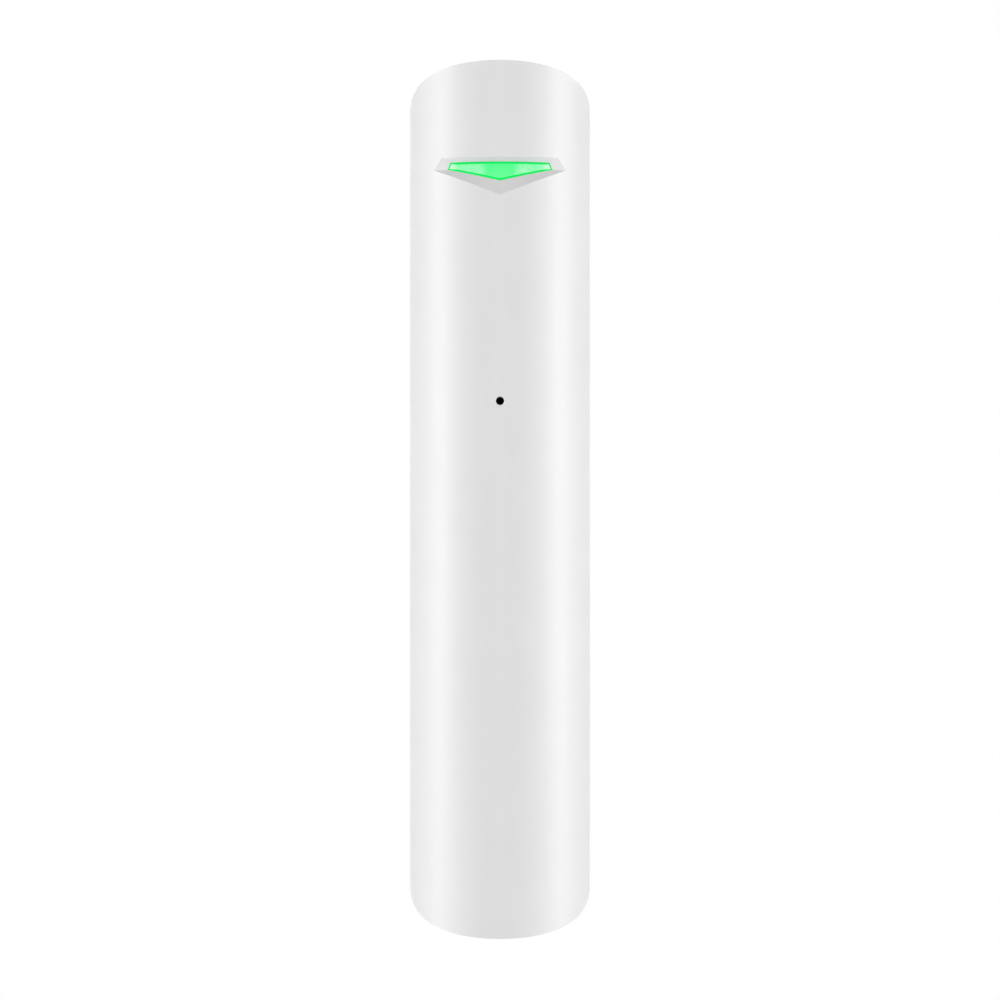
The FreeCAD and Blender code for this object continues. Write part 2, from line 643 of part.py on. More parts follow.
def window_corners(gap="0", margin="0"):
    """The window's five corners as expressions, drawn in by a gap or out by a margin."""
    top = "(fits.window_top_z - (%s) + (%s))" % (gap, margin)
    side = "(fits.window_top_z - sheet.window_side_drop)"
    apex = ("(fits.window_top_z - sheet.window_apex_drop + (%s) - sheet.apex_spread * (%s))"
            % (gap, margin))
    top_half = "(sheet.window_top_half - (%s) + (%s))" % (gap, margin)
    side_corner = "(sheet.window_side_half - (%s) + sheet.side_spread * (%s))" % (gap, margin)
    return [(minus(top_half), top), (top_half, top), (side_corner, side), ("0", apex),
            (minus(side_corner), side)]


def face_on_skin(corners, inset):
    """An outline laid on the front of the housing, at a depth below its skin."""
    axis = number("fits.axis_y")
    radius = number("fits.radius") - inset
    tip = number("fits.tip_z")
    outline = [Vector(x, axis, z) for x, z in corners]
    prism = Part.Face(Part.makePolygon(outline + outline[:1])).extrude(Vector(0, -2 * radius, 0))
    drum = Part.makeCylinder(radius, 2 * tip, Vector(0, axis, -tip), Vector(0, 0, 1))
    skin = [face for face in drum.Faces if isinstance(face.Surface, Part.Cylinder)][0]
    return skin.common(prism).Faces[0]


def edge_over(face, first, second):
    """The edge of a face that lies over one side of its outline."""
    x, z = (first[0] + second[0]) / 2, (first[1] + second[1]) / 2
    return min(face.Edges, key=lambda edge: math.hypot(edge.CenterOfMass.x - x,
                                                       edge.CenterOfMass.z - z))


def recess_shape():
    """The solid that the recess takes out of the front cover. Its bevels run on above the skin
    by a third of its depth."""
    depth = number("sheet.recess_depth")
    rise = depth / 3
    at_skin = recess_corners()
    at_window = [(number(x), number(z)) for x, z in window_corners()]
    above = [(x + (x - inner_x) * rise / depth, z + (z - inner_z) * rise / depth)
             for (x, z), (inner_x, inner_z) in zip(at_skin, at_window)]
    floor = face_on_skin(at_window, depth)
    lid = face_on_skin(above, -rise)
    faces = [floor, lid]
    for i in range(len(at_window)):
        j = (i + 1) % len(at_window)
        faces.append(Part.makeRuledSurface(edge_over(floor, at_window[i], at_window[j]),
                                           edge_over(lid, above[i], above[j])))
    sewn = Part.Compound(faces)
    sewn.sewShape()
    return Part.makeSolid(sewn.Shells[0])


latch_y = "(fits.seam_y + sheet.tongue_length / 2 + sheet.latch_width / 2)"


def latch_bars(name, inset, reach, clearance):
    """Four bars along the seam, two a side, half sunk in a surface set in from the skin."""
    bars = []
    for side_name, side in (("left", "-"), ("right", "")):
        for level_name, level in (("high", ""), ("low", "-")):
            bars.append(slab("%s_%s_%s" % (name, side_name, level_name),
                             side + side_half(latch_y, inset),
                             latch_y + " + (%s)" % clearance,
                             level + "sheet.latch_spacing / 2",
                             "2 * (%s)" % reach,
                             "sheet.latch_width + 2 * (%s)" % clearance,
                             "sheet.latch_length + 2 * (%s)" % clearance))
    return bars


# Front cover
front_skin = hull("front_skin", "0", "fits.seam_y")
soften(front_skin, "Chamfer", "front_seam_edge",
       edges_where(front_skin.Shape, lambda edge: lies_at(edge, "fits.seam_y")),
       "sheet.seam_chamfer")
front_tongue = hull("front_tongue", "sheet.seam_split + sheet.tongue_gap",
                    "(fits.seam_y + sheet.tongue_length)")
front_cavity = hull("front_cavity", "sheet.front_wall",
                    "(fits.seam_y + sheet.tongue_length + sheet.overshoot)")
front_liner = hull("front_liner", "sheet.front_wall / 2", "fits.seam_y")

recess_tool = doc.addObject("Part::Feature", "recess_tool")
recess_tool.Shape = recess_shape()
recess_tool.Placement = Placement()

window_opening = new_body("window_opening")
window_sketch = sketch_on(window_opening, "XZ_Plane", "window_outline", minus("fits.axis_y"))
polygon(window_sketch, window_corners())
pad(window_opening, window_sketch, "window_prism", "fits.radius - sheet.recess_depth / 2")

front_shell = cut("front_shell", fuse("front_walls", [front_skin, front_tongue]), [front_cavity])
collar = cut("collar_ring",
             rod("collar_outside", "0", "fits.seat_y + sheet.collar_length", "fits.port_z",
                 "fits.collar_bore + sheet.collar_wall", "sheet.collar_length + sheet.front_wall * 2"),
             [rod("collar_inside", "0", "fits.seat_y + sheet.collar_length + sheet.overshoot",
                  "fits.port_z", "fits.collar_bore",
                  "sheet.collar_length + sheet.overshoot")])
beads = latch_bars("bead", "sheet.seam_split + sheet.tongue_gap", "sheet.latch_proud", "0")
front_body = fuse("front_body",
                  [front_shell, common("collar_trimmed", collar, front_liner)] + beads)
front_cover = cut("front_cover", front_body, [
    recess_tool,
    window_opening,
    rod("sound_port", "0", "fits.seat_y + sheet.overshoot", "fits.port_z",
        "sheet.port_radius", "fits.seat_y - fits.front_y + 2 * sheet.overshoot"),
    cone("sound_port_rim", "0", "fits.front_y + sheet.port_rim", "fits.port_z",
         "sheet.port_radius", "sheet.port_radius + 2 * sheet.port_rim", "2 * sheet.port_rim"),
])

# Rear cover
rear_skin = hull("rear_skin", "0", "fits.rear_y")
seam_sketch = sketch_on(rear_skin, "XZ_Plane", "seam_cut", minus("fits.seam_y"))
rectangle(seam_sketch, minus("2 * fits.radius"), "2 * fits.radius",
          minus("2 * fits.tip_z"), "2 * fits.tip_z")
pocket(rear_skin, seam_sketch, "seam_trim", towards_normal=True)
soften(rear_skin, "Fillet", "rear_edges",
       edges_where(rear_skin.Shape, lambda edge: lies_at(edge, "fits.rear_y")),
       "sheet.rear_round")
soften(rear_skin, "Chamfer", "rear_seam_edge",
       edges_where(rear_skin.Shape, lambda edge: lies_at(edge, "fits.seam_y")),
       "sheet.seam_chamfer")
rear_cavity = hull("rear_cavity", "sheet.rear_wall", "fits.floor_y")
rear_rebate = hull("rear_rebate", "sheet.seam_split",
                   "(fits.seam_y + sheet.tongue_length + sheet.tongue_gap)")
rear_shell = cut("rear_shell", rear_skin, [rear_cavity, rear_rebate])

board_posts = []
post_pilots = []
post_places = []
for side_name, side in (("left", "-"), ("right", "")):
    for level_name, level in (("high", "fits.post_high"), ("low", "fits.post_low")):
        place = side_name + "_" + level_name
        x = side + "fits.post_x"
        post_places.append((place, x, level))
        board_posts.append(rod("post_" + place, x, "fits.floor_y + sheet.rear_wall / 2", level,
                               "sheet.post_radius", "sheet.board_rise + sheet.rear_wall / 2"))
        post_pilots.append(rod("pilot_" + place, x, "fits.board_back_y + sheet.pilot_depth", level,
                               "sheet.pilot_radius", "sheet.pilot_depth"))
    board_posts.append(slab("support_" + side_name, side + "(fits.board_half - sheet.support_inset)",
                            "fits.floor_y + sheet.rear_wall / 2", "fits.support_z",
                            "sheet.support_width", "sheet.board_rise + sheet.rear_wall / 2",
                            "sheet.support_length"))

ribs = fuse("ribs", [
    slab("rib_%d" % count, "0", "fits.floor_y + sheet.rear_wall / 2", height,
         "2 * sheet.rib_half", "sheet.board_rise + sheet.board_thickness + sheet.rear_wall / 2",
         "sheet.rib_width")
    for count, height in enumerate([
        "(fits.cell_top - sheet.rib_drop)",
        "(fits.cell_top - sheet.rib_drop - sheet.rib_pitch)",
        "(fits.cell_bottom + sheet.rib_rise)"])])
cell_space = doc.addObject("Part::Cylinder", "cell_space")
cell_space.setExpression("Radius", "sheet.cell_diameter / 2 + sheet.cell_clearance")
cell_space.setExpression("Height", "2 * sheet.cell_length")
cell_space.setExpression("Placement.Base.y", "fits.axis_y")
cell_space.setExpression("Placement.Base.z", "fits.cell_top - 1.5 * sheet.cell_length")
rear_body = fuse("rear_body", [rear_shell, cut("cradle", ribs, [cell_space])] + board_posts)

plate_half = side_half("fits.rear_y", "sheet.bracket_inset")
plate_height = "(%s - sheet.bracket_inset)" % end_height("fits.rear_y", "0")
hook_places = []
for side_name, side in (("left", "-"), ("right", "")):
    x = "%s(%s - sheet.hook_inset)" % (side, plate_half)
    for level_name, level in (("high", "fits.hook_high"), ("low", "fits.hook_low")):
        hook_places.append((side_name + "_" + level_name, x, level))
slots = [
    slab("slot_" + place, x, "fits.rear_y + sheet.overshoot",
         "%s + sheet.running_gap - fits.slot_height / 2" % level,
         "sheet.hook_width + 2 * sheet.slot_gap", "sheet.rear_wall + 2 * sheet.overshoot",
         "fits.slot_height")
    for place, x, level in hook_places]
grooves = latch_bars("groove", "sheet.seam_split",
                     "sheet.latch_proud - sheet.tongue_gap + sheet.running_gap",
                     "sheet.running_gap")
rear_cover = cut("rear_cover", rear_body, post_pilots + slots + grooves + [
    rod("plunger_opening", "0", "fits.rear_y + sheet.overshoot", "fits.tamper_z",
        "sheet.plunger_radius + sheet.plunger_cover_gap", "sheet.rear_wall + 2 * sheet.overshoot"),
    rod("key_opening", "0", "fits.rear_y + sheet.overshoot", "fits.enrol_z",
        "sheet.key_radius + sheet.key_gap", "sheet.rear_wall + 2 * sheet.overshoot"),
])

# Wall bracket: a plate with four upward hooks, countersunk screw holes and a break-away tab
bracket_plate = new_body("bracket_plate")
plate_sketch = sketch_on(bracket_plate, "XZ_Plane", "plate_outline")
rectangle(plate_sketch, minus(plate_half), plate_half, minus(plate_height), plate_height)
pad(bracket_plate, plate_sketch, "plate", "sheet.bracket_thickness")
soften(bracket_plate, "Fillet", "plate_corners",
       edges_where(bracket_plate.Shape, runs_back), "sheet.bracket_round")
soften(bracket_plate, "Chamfer", "plate_edge",
       edges_where(bracket_plate.Shape, lambda edge: lies_at(edge, "-sheet.bracket_thickness")),
       "sheet.bracket_edge")

for place, x, level in hook_places:
    left = "(%s - sheet.hook_width / 2)" % x
    right = "(%s + sheet.hook_width / 2)" % x
    stem_sketch = sketch_on(bracket_plate, "XZ_Plane", "stem_sketch_" + place,
                            "sheet.bracket_thickness / 2")
    rectangle(stem_sketch, left, right, "%s - sheet.hook_stem" % level, level)
    pad(bracket_plate, stem_sketch, "stem_" + place,
        "-fits.hook_front_y - sheet.bracket_thickness / 2")
    lip_sketch = sketch_on(bracket_plate, "XZ_Plane", "lip_sketch_" + place, minus("fits.lip_back_y"))
    rectangle(lip_sketch, left, right, "%s - sheet.hook_stem" % level,
              "%s + sheet.hook_lip" % level)
    pad(bracket_plate, lip_sketch, "lip_" + place, "sheet.hook_lip_depth")

hole_sketch = sketch_on(bracket_plate, "XZ_Plane", "screw_holes")
screw_z = "(%s - sheet.wall_screw_inset)" % plate_height
circle(hole_sketch, "0", screw_z, "sheet.wall_screw_radius")
circle(hole_sketch, "0", minus(screw_z), "sheet.wall_screw_radius")
circle(hole_sketch, "0", "fits.tamper_z - sheet.tab_hole_drop", "sheet.tab_hole_radius")
pocket(bracket_plate, hole_sketch, "screw_clearance", towards_normal=True)
soften(
    bracket_plate, "Chamfer", "countersinks",
    edges_where(bracket_plate.Shape,
                lambda edge: lies_at(edge, "-sheet.bracket_thickness")
                and isinstance(edge.Curve, Part.Circle)
                and near(edge.Curve.Radius, number("sheet.wall_screw_radius"))),
    "sheet.countersink_radius - sheet.wall_screw_radius", "sheet.countersink_depth")

tab_sketch = sketch_on(bracket_plate, "XZ_Plane", "tab_slots")
tab_top = "(fits.tamper_z + sheet.tab_half - sheet.tab_slot)"
tab_low = "(%s - sheet.tab_length)" % tab_top
for sign in ("", "-"):
    inner = "%ssheet.tab_half" % sign
    outer = "%s(sheet.tab_half + sheet.tab_slot)" % sign
    rectangle(tab_sketch, inner, outer, tab_low + " + sheet.tab_bridge",
              tab_top + " - sheet.tab_bridge")
rectangle(tab_sketch, "-sheet.tab_half", "sheet.tab_half", tab_top,
          tab_top + " + sheet.tab_slot")
rectangle(tab_sketch, "-sheet.tab_half", "sheet.tab_half", tab_low + " - sheet.tab_slot", tab_low)
pocket(bracket_plate, tab_sketch, "tab_outline", towards_normal=True)

# Light guide: the window, its flange against the cover and the stem that reaches the lamp
light_guide = new_body("light_guide")
flange_half = "(sheet.window_side_half + sheet.side_spread * sheet.flange_margin)"
flange_y = ("(fits.axis_y - sqrt((fits.radius - sheet.front_wall) ^ 2 - %s ^ 2)"
            " + sheet.flange_back)" % flange_half)
flange_sketch = sketch_on(light_guide, "XZ_Plane", "flange_outline", minus(flange_y))
polygon(flange_sketch, window_corners(margin="sheet.flange_margin"))
pad(light_guide, flange_sketch, "flange", "%s - fits.front_y" % flange_y)
trim_to_section(light_guide, "flange", "(fits.radius - sheet.front_wall - sheet.guide_gap)",
                "sheet.front_wall", "fits.axis_y + fits.radius")
pane_sketch = sketch_on(light_guide, "XZ_Plane", "pane_outline", minus(flange_y))
polygon(pane_sketch, window_corners(gap="sheet.window_gap"))
pad(light_guide, pane_sketch, "pane", "%s - fits.front_y" % flange_y)
trim_to_section(light_guide, "pane", "(fits.radius - sheet.recess_depth)",
                "sheet.recess_depth", "fits.axis_y + fits.radius")
stem_profile = sketch_on(light_guide, "YZ_Plane", "stem_profile")
foot_y = "(fits.led_front_y - sheet.led_gap)"
stem_y = "(%s - sheet.flange_back / 2)" % flange_y
polygon(stem_profile, [
    (stem_y, "fits.window_top_z"),
    (foot_y, "fits.led_z + sheet.stem_foot / 2"),
    (foot_y, "fits.led_z - sheet.stem_foot / 2"),
    (stem_y, "fits.window_top_z - sheet.window_apex_drop"),
])
pad(light_guide, stem_profile, "stem", "sheet.stem_width", both_sides=True)

indicator_led = fuse("indicator_led", [
    slab("led_base", "0", "fits.board_front_y", "fits.led_z", "sheet.led_width",
         "sheet.led_depth", "sheet.led_height"),
    rod("led_lens", "0", "fits.board_front_y - sheet.led_depth / 2", "fits.led_z",
        "sheet.led_lens_radius", "sheet.led_depth / 2 + sheet.led_lens_depth"),
])

# Microphone: mesh, rubber boot, capsule and leads, stacked on the seat behind the port
acoustic_mesh = rod("acoustic_mesh", "0", "fits.boot_y", "fits.port_z", "fits.boot_radius",
                    "sheet.mesh_thickness")
boot_back = "(fits.capsule_back_y + sheet.boot_lip)"
microphone_boot = cut("microphone_boot",
                      rod("boot_outside", "0", boot_back, "fits.port_z",
                          "fits.boot_radius", "%s - fits.boot_y" % boot_back),
                      [rod("boot_inside", "0", boot_back + " + sheet.overshoot",
                           "fits.port_z", "sheet.capsule_radius + sheet.capsule_gap",
                           "%s + sheet.overshoot - fits.capsule_y" % boot_back),
                       rod("boot_hole", "0", boot_back, "fits.port_z",
                           "sheet.boot_opening", "%s - fits.boot_y + sheet.overshoot" % boot_back)])
microphone_capsule = cut("microphone_capsule",
                         rod("capsule_can", "0", "fits.capsule_back_y", "fits.port_z",
                             "sheet.capsule_radius", "sheet.capsule_length"),
                         [rod("capsule_port", "0", "fits.capsule_y + sheet.capsule_port_depth",
                              "fits.port_z", "sheet.port_radius",
                              "sheet.capsule_port_depth + sheet.overshoot")])
lead_back = "(fits.board_back_y + sheet.lead_tail)"
lead_places = (("left", "-sheet.lead_pitch / 2"), ("right", "sheet.lead_pitch / 2"))
microphone_leads = group("microphone_leads", [
    rod("lead_" + side_name, x, lead_back, "fits.port_z", "sheet.lead_radius",
        "%s - fits.capsule_back_y" % lead_back)
    for side_name, x in lead_places])

# Circuit board
circuit_board = new_body("circuit_board")
board_half = side_half("fits.board_back_y", "sheet.rear_wall + sheet.board_clearance")
board_sketch = sketch_on(circuit_board, "XZ_Plane", "board_outline", minus("fits.board_back_y"))
rectangle(board_sketch, minus(board_half), board_half, "-fits.board_end", "fits.board_end")
pad(circuit_board, board_sketch, "board_sheet", "sheet.board_thickness")
soften(circuit_board, "Fillet", "board_corners",
       edges_where(circuit_board.Shape, runs_back), "sheet.board_round")
cutout_sketch = sketch_on(circuit_board, "XZ_Plane", "cutouts", minus("fits.board_back_y"))
rectangle(cutout_sketch, "-fits.cutout_half", "fits.cutout_half",
          "fits.cell_bottom - sheet.cutout_clearance", "fits.cell_top")
circle(cutout_sketch, "0", "fits.tamper_z", "sheet.plunger_radius + sheet.plunger_board_gap")
for side_name, x in lead_places:
    circle(cutout_sketch, x, "fits.port_z", "sheet.lead_radius + sheet.lead_gap")
for place, x, level in post_places:
    circle(cutout_sketch, x, level, "sheet.pilot_radius + sheet.screw_clearance")
pocket(circuit_board, cutout_sketch, "board_openings", towards_normal=True)

screws = []
for place, x, level in post_places:
    head = rod("head_" + place, x, "fits.board_front_y", level, "sheet.screw_head_radius",
               "sheet.screw_head_height")
    cross = [
        slab("slot_across_" + place, x,
             "fits.board_front_y - sheet.screw_head_height + sheet.screw_slot", level,
             "sheet.screw_cross", "2 * sheet.screw_slot", "sheet.screw_slot"),
        slab("slot_up_" + place, x,
             "fits.board_front_y - sheet.screw_head_height + sheet.screw_slot", level,
             "sheet.screw_slot", "2 * sheet.screw_slot", "sheet.screw_cross"),
    ]
    shank = rod("shank_" + place, x, "fits.board_back_y + sheet.pilot_depth - sheet.running_gap",
                level, "sheet.pilot_radius - sheet.thread_gap",
                "sheet.pilot_depth + sheet.board_thickness + sheet.screw_head_height / 2")
    screws.append(cut("screw_" + place, fuse("screw_blank_" + place, [head, shank]), cross))
board_screws = group("board_screws", screws)

# Radio's shielding can, with a row of vent slots
radio_shield = new_body("radio_shield")
shield_low = "(fits.shield_z - sheet.shield_length / 2)"
shield_high = "(fits.shield_z + sheet.shield_length / 2)"
shield_sketch = sketch_on(radio_shield, "XZ_Plane", "shield_outline", minus("fits.board_front_y"))
rectangle(shield_sketch, "fits.shield_left", "fits.shield_right", shield_low, shield_high)
pad(radio_shield, shield_sketch, "shield_block", "sheet.shield_depth")
soften(radio_shield, "Fillet", "shield_rounding",
       edges_where(radio_shield.Shape, runs_back),
       "sheet.shield_round")
hollow_sketch = sketch_on(radio_shield, "XZ_Plane", "shield_hollow", minus("fits.board_front_y"))
shield_inset = "(sheet.shield_wall + sheet.shield_round / 2)"
rectangle(hollow_sketch, "fits.shield_left + " + shield_inset,
          "fits.shield_right - " + shield_inset,
          "%s + %s" % (shield_low, shield_inset), "%s - %s" % (shield_high, shield_inset))
pocket(radio_shield, hollow_sketch, "shield_inside", "sheet.shield_depth - sheet.shield_wall",
       towards_normal=True)
vent_sketch = sketch_on(radio_shield, "XZ_Plane", "shield_vents", minus("fits.board_front_y"))
shield_middle = "(fits.shield_left + fits.shield_right) / 2"
for step in ("- sheet.shield_pitch", "", "+ sheet.shield_pitch"):
    slot_z = "fits.shield_z %s" % step
    rectangle(vent_sketch, shield_middle + " - sheet.shield_slot_length / 2",
              shield_middle + " + sheet.shield_slot_length / 2",
              slot_z + " - sheet.shield_slot_width / 2", slot_z + " + sheet.shield_slot_width / 2")
pocket(radio_shield, vent_sketch, "shield_vent_slots", towards_normal=True)

microcontroller = slab("microcontroller", "fits.chip_x", "fits.board_front_y", "fits.chip_z",
                       "sheet.chip_width", "sheet.chip_depth", "sheet.chip_width")

amplifier_pins = []
for row in range(4):
    height = "fits.amplifier_z + (%d - 1.5) * sheet.pin_pitch" % row
    amplifier_pins.append(slab("amplifier_foot_%d" % row, "fits.amplifier_x",
                               "fits.board_front_y", height,
                               "sheet.amplifier_width + 2 * sheet.pin_reach", "sheet.pin_sheet",
                               "sheet.pin_width"))
    amplifier_pins.append(slab("amplifier_knee_%d" % row, "fits.amplifier_x",
                               "fits.board_front_y", height,
                               "sheet.amplifier_width + sheet.pin_reach",
                               "sheet.amplifier_depth / 2", "sheet.pin_width"))
amplifier_chip = fuse("amplifier_chip", amplifier_pins + [
    slab("amplifier_body", "fits.amplifier_x", "fits.board_front_y", "fits.amplifier_z",
         "sheet.amplifier_width", "sheet.amplifier_depth", "sheet.amplifier_length")])

crystal = new_body("crystal")
crystal_sketch = sketch_on(crystal, "XZ_Plane", "crystal_outline", minus("fits.board_front_y"))
rectangle(crystal_sketch, "fits.chip_x - sheet.crystal_width / 2",
          "fits.chip_x + sheet.crystal_width / 2",
          "fits.crystal_z - sheet.crystal_height / 2",
          "fits.crystal_z + sheet.crystal_height / 2")
pad(crystal, crystal_sketch, "crystal_block", "sheet.crystal_depth")
soften(crystal, "Fillet", "crystal_rounding",
       edges_where(crystal.Shape, runs_back),
       "sheet.crystal_round")

chip_capacitors = group("chip_capacitors", [
    slab("chip_capacitor_%d_%d" % (column, row),
         "fits.chip_cap_x + (%d - 0.5) * sheet.chip_cap_pitch" % column, "fits.board_front_y",
         "fits.chip_cap_z - %d * sheet.chip_cap_rows" % row,
         "sheet.chip_cap_width", "sheet.chip_cap_height", "sheet.chip_cap_height")
    for column in range(2) for row in range(2)])

storage_can = rod("storage_can", "fits.storage_x", "fits.board_front_y - sheet.storage_base / 2",
                  "fits.storage_z", "sheet.storage_radius",
                  "sheet.storage_length - sheet.storage_base / 2")
storage_capacitor = fuse("storage_capacitor", [
    storage_can,
    slab("storage_plate", "fits.storage_x", "fits.board_front_y", "fits.storage_z",
         "sheet.storage_base_width", "sheet.storage_base", "sheet.storage_base_width"),
])

# Antenna: a stamped strip that stands off the board on two feet
antenna = new_body("antenna")
antenna_sketch = sketch_on(antenna, "YZ_Plane", "antenna_outline",
                           "fits.board_half - sheet.antenna_inset")
antenna_high = "(fits.antenna_low + sheet.antenna_length)"
strip_back = "(fits.board_front_y - sheet.antenna_rise)"
strip_front = "(fits.board_front_y - sheet.antenna_rise - sheet.antenna_strip)"
polygon(antenna_sketch, [
    ("fits.board_front_y", "fits.antenna_low"),
    (strip_front, "fits.antenna_low"),
    (strip_front, antenna_high),
    (strip_back, antenna_high),
    (strip_back, "fits.antenna_low + sheet.antenna_step + sheet.antenna_foot"),
    ("fits.board_front_y", "fits.antenna_low + sheet.antenna_step + sheet.antenna_foot"),
    ("fits.board_front_y", "fits.antenna_low + sheet.antenna_step"),
    (strip_back, "fits.antenna_low + sheet.antenna_step"),
    (strip_back, "fits.antenna_low + sheet.antenna_foot"),
    ("fits.board_front_y", "fits.antenna_low + sheet.antenna_foot"),
])
pad(antenna, antenna_sketch, "antenna_strip", "sheet.antenna_sheet", both_sides=True)

# Lithium cell, turned about its own axis
battery = new_body("battery")
battery_sketch = sketch_on(battery, "XZ_Plane", "battery_profile", minus("fits.axis_y"))
cell_half = "(sheet.cell_diameter / 2)"
shoulder = "(fits.cell_top - sheet.nub_height)"
crimp_top = "(%s - sheet.crimp_drop)" % shoulder
polygon(battery_sketch, [
    ("0", "fits.cell_bottom"),
    (cell_half + " - sheet.cell_round", "fits.cell_bottom"),
    (cell_half, "fits.cell_bottom + sheet.cell_round"),
    (cell_half, crimp_top + " - sheet.crimp_width"),
    (cell_half + " - sheet.crimp_depth", crimp_top + " - sheet.crimp_width / 2"),
    (cell_half, crimp_top),
    (cell_half, shoulder + " - sheet.cell_round"),
    (cell_half + " - sheet.cell_round", shoulder),
    ("sheet.nub_radius", shoulder),
    ("sheet.nub_radius", "fits.cell_top"),
    ("0", "fits.cell_top"),
])
turning = battery.newObject("PartDesign::Revolution", "battery_turning")
turning.Profile = battery_sketch
turning.ReferenceAxis = (battery_sketch, ["V_Axis"])
turning.Angle = 360
doc.recompute()

# Contacts: bent strips on the board, one at each end of the cell
contact_positive = new_body("contact_positive")
positive_sketch = sketch_on(contact_positive, "YZ_Plane", "positive_profile")
plus_face = "(fits.cell_top + sheet.contact_gap)"
plus_back = "(%s + sheet.contact_sheet)" % plus_face
contact_end = "(fits.board_front_y - sheet.contact_reach)"
foot_face = "(fits.board_front_y - sheet.contact_sheet)"
polygon(positive_sketch, [
    ("fits.board_front_y", plus_face),
    (contact_end, plus_face),
    (contact_end, plus_back),
    (foot_face, plus_back),
    (foot_face, plus_face + " + sheet.foot_length"),
    ("fits.board_front_y", plus_face + " + sheet.foot_length"),
])
pad(contact_positive, positive_sketch, "positive_strip", "sheet.contact_width", both_sides=True)

contact_negative = new_body("contact_negative")
negative_sketch = sketch_on(contact_negative, "YZ_Plane", "negative_profile")
minus_tip = "(fits.cell_bottom - sheet.contact_gap)"
minus_face = "(%s - sheet.spring_reach)" % minus_tip
minus_back = "(%s - sheet.contact_sheet)" % minus_face
polygon(negative_sketch, [
    ("fits.board_front_y", minus_face),
    ("fits.board_front_y", minus_face + " - sheet.foot_length"),
    (foot_face, minus_face + " - sheet.foot_length"),
    (foot_face, minus_back),
    (contact_end + " - sheet.contact_sheet", minus_back),
    (contact_end + " - sheet.contact_sheet", minus_face),
    ("fits.axis_y", minus_tip),
    ("fits.axis_y + sheet.spring_flat", minus_tip),
    ("fits.axis_y + sheet.spring_flat", minus_tip + " - sheet.contact_sheet"),
    ("fits.axis_y", minus_tip + " - sheet.contact_sheet"),
    (contact_end, minus_face),
])
pad(contact_negative, negative_sketch, "negative_strip", "sheet.contact_width", both_sides=True)


def cell_holder(name, low_face):
    """A moulded end wall on the board that backs one contact and clears its foot."""
    body = new_body(name)
    half = "(sheet.holder_width / 2)"
    front = "(fits.board_front_y - sheet.holder_reach)"
    wall_sketch = sketch_on(body, "XY_Plane", name + "_outline", low_face)
    rectangle(wall_sketch, minus(half), half, front, "fits.board_front_y")
    pad(body, wall_sketch, name + "_wall", "sheet.holder_wall")
    soften(body, "Fillet", name + "_corners",
           edges_where(body.Shape, lambda edge: lies_at(edge, front)
                       and near(edge.BoundBox.XLength, 0)),
           "sheet.holder_round")
    notch_half = "(sheet.contact_width / 2 + 2 * sheet.running_gap)"
    notch_sketch = sketch_on(body, "XY_Plane", name + "_notch", low_face + " - sheet.overshoot")
    rectangle(notch_sketch, minus(notch_half), notch_half,
              foot_face + " - 2 * sheet.running_gap", "fits.board_front_y + sheet.overshoot")
    pocket(body, notch_sketch, name + "_foot_notch",
           "sheet.holder_wall + 2 * sheet.overshoot", towards_normal=True)
    return body


plus_wall = "(%s + sheet.running_gap)" % plus_back
minus_wall = "(%s - sheet.running_gap - sheet.holder_wall)" % minus_back
holder_upper = cell_holder("holder_upper", plus_wall)
holder_lower = cell_holder("holder_lower", minus_wall)

# Tamper switch: a housing on the board, a plunger through the board and a coil spring
tamper_housing = cut("tamper_housing",
                     slab("tamper_block", "0", "fits.board_front_y", "fits.tamper_z",
                          "sheet.tamper_width", "sheet.tamper_depth", "sheet.tamper_length"),
                     [rod("tamper_chamber", "0", "fits.board_front_y - sheet.tamper_lip",
                          "fits.tamper_z", "fits.chamber_radius",
                          "fits.board_front_y - sheet.tamper_lip - fits.chamber_front_y"),
                      rod("tamper_bore", "0", "fits.board_front_y + sheet.overshoot",
                          "fits.tamper_z", "sheet.plunger_radius + sheet.plunger_gap",
                          "sheet.tamper_lip + 2 * sheet.overshoot")])

tamper_plunger = new_body("tamper_plunger")
plunger_sketch = sketch_on(tamper_plunger, "YZ_Plane", "plunger_profile")
collar_radius = "(sheet.plunger_radius + sheet.plunger_collar)"
pin_front = "(fits.collar_front_y - sheet.plunger_pin_length)"
turned(tamper_plunger, plunger_sketch, "plunger_turning", [
    ("fits.plunger_tip_y", "0"),
    ("fits.plunger_tip_y", "sheet.plunger_radius - sheet.plunger_dome"),
    ("fits.plunger_tip_y - sheet.plunger_dome", "sheet.plunger_radius"),
    ("fits.collar_back_y", "sheet.plunger_radius"),
    ("fits.collar_back_y", collar_radius),
    ("fits.collar_front_y", collar_radius),
    ("fits.collar_front_y", "sheet.plunger_pin"),
    (pin_front, "sheet.plunger_pin"),
    (pin_front, "0"),
], "fits.tamper_z")


def coil(turns, radius, wire, length):
    """A coil that rises from the origin and stays inside its length, with a five-sided wire."""
    sides = 5
    rise = length - 2 * wire
    helix = Part.makeHelix(rise / turns, rise, radius)
    turn = 2 * math.pi / sides
    corners = [Vector(radius + wire * math.cos(turn * step), 0, wire * math.sin(turn * step))
               for step in range(sides + 1)]
    return Part.Wire(helix.Edges).makePipeShell([Part.makePolygon(corners)], True, True)


spring_back = "(fits.collar_front_y - sheet.running_gap)"
tamper_spring = doc.addObject("Part::Feature", "tamper_spring")
tamper_spring.Shape = coil(
    number("sheet.spring_turns"),
    number("sheet.plunger_pin + sheet.spring_wire + 2 * sheet.running_gap"),
    number("sheet.spring_wire"),
    number("%s - fits.chamber_front_y - sheet.running_gap" % spring_back))
tamper_spring.Placement = Placement(
    Vector(0, number(spring_back + " - sheet.spring_wire"), number("fits.tamper_z")),
    Rotation(Vector(1, 0, 0), 90))

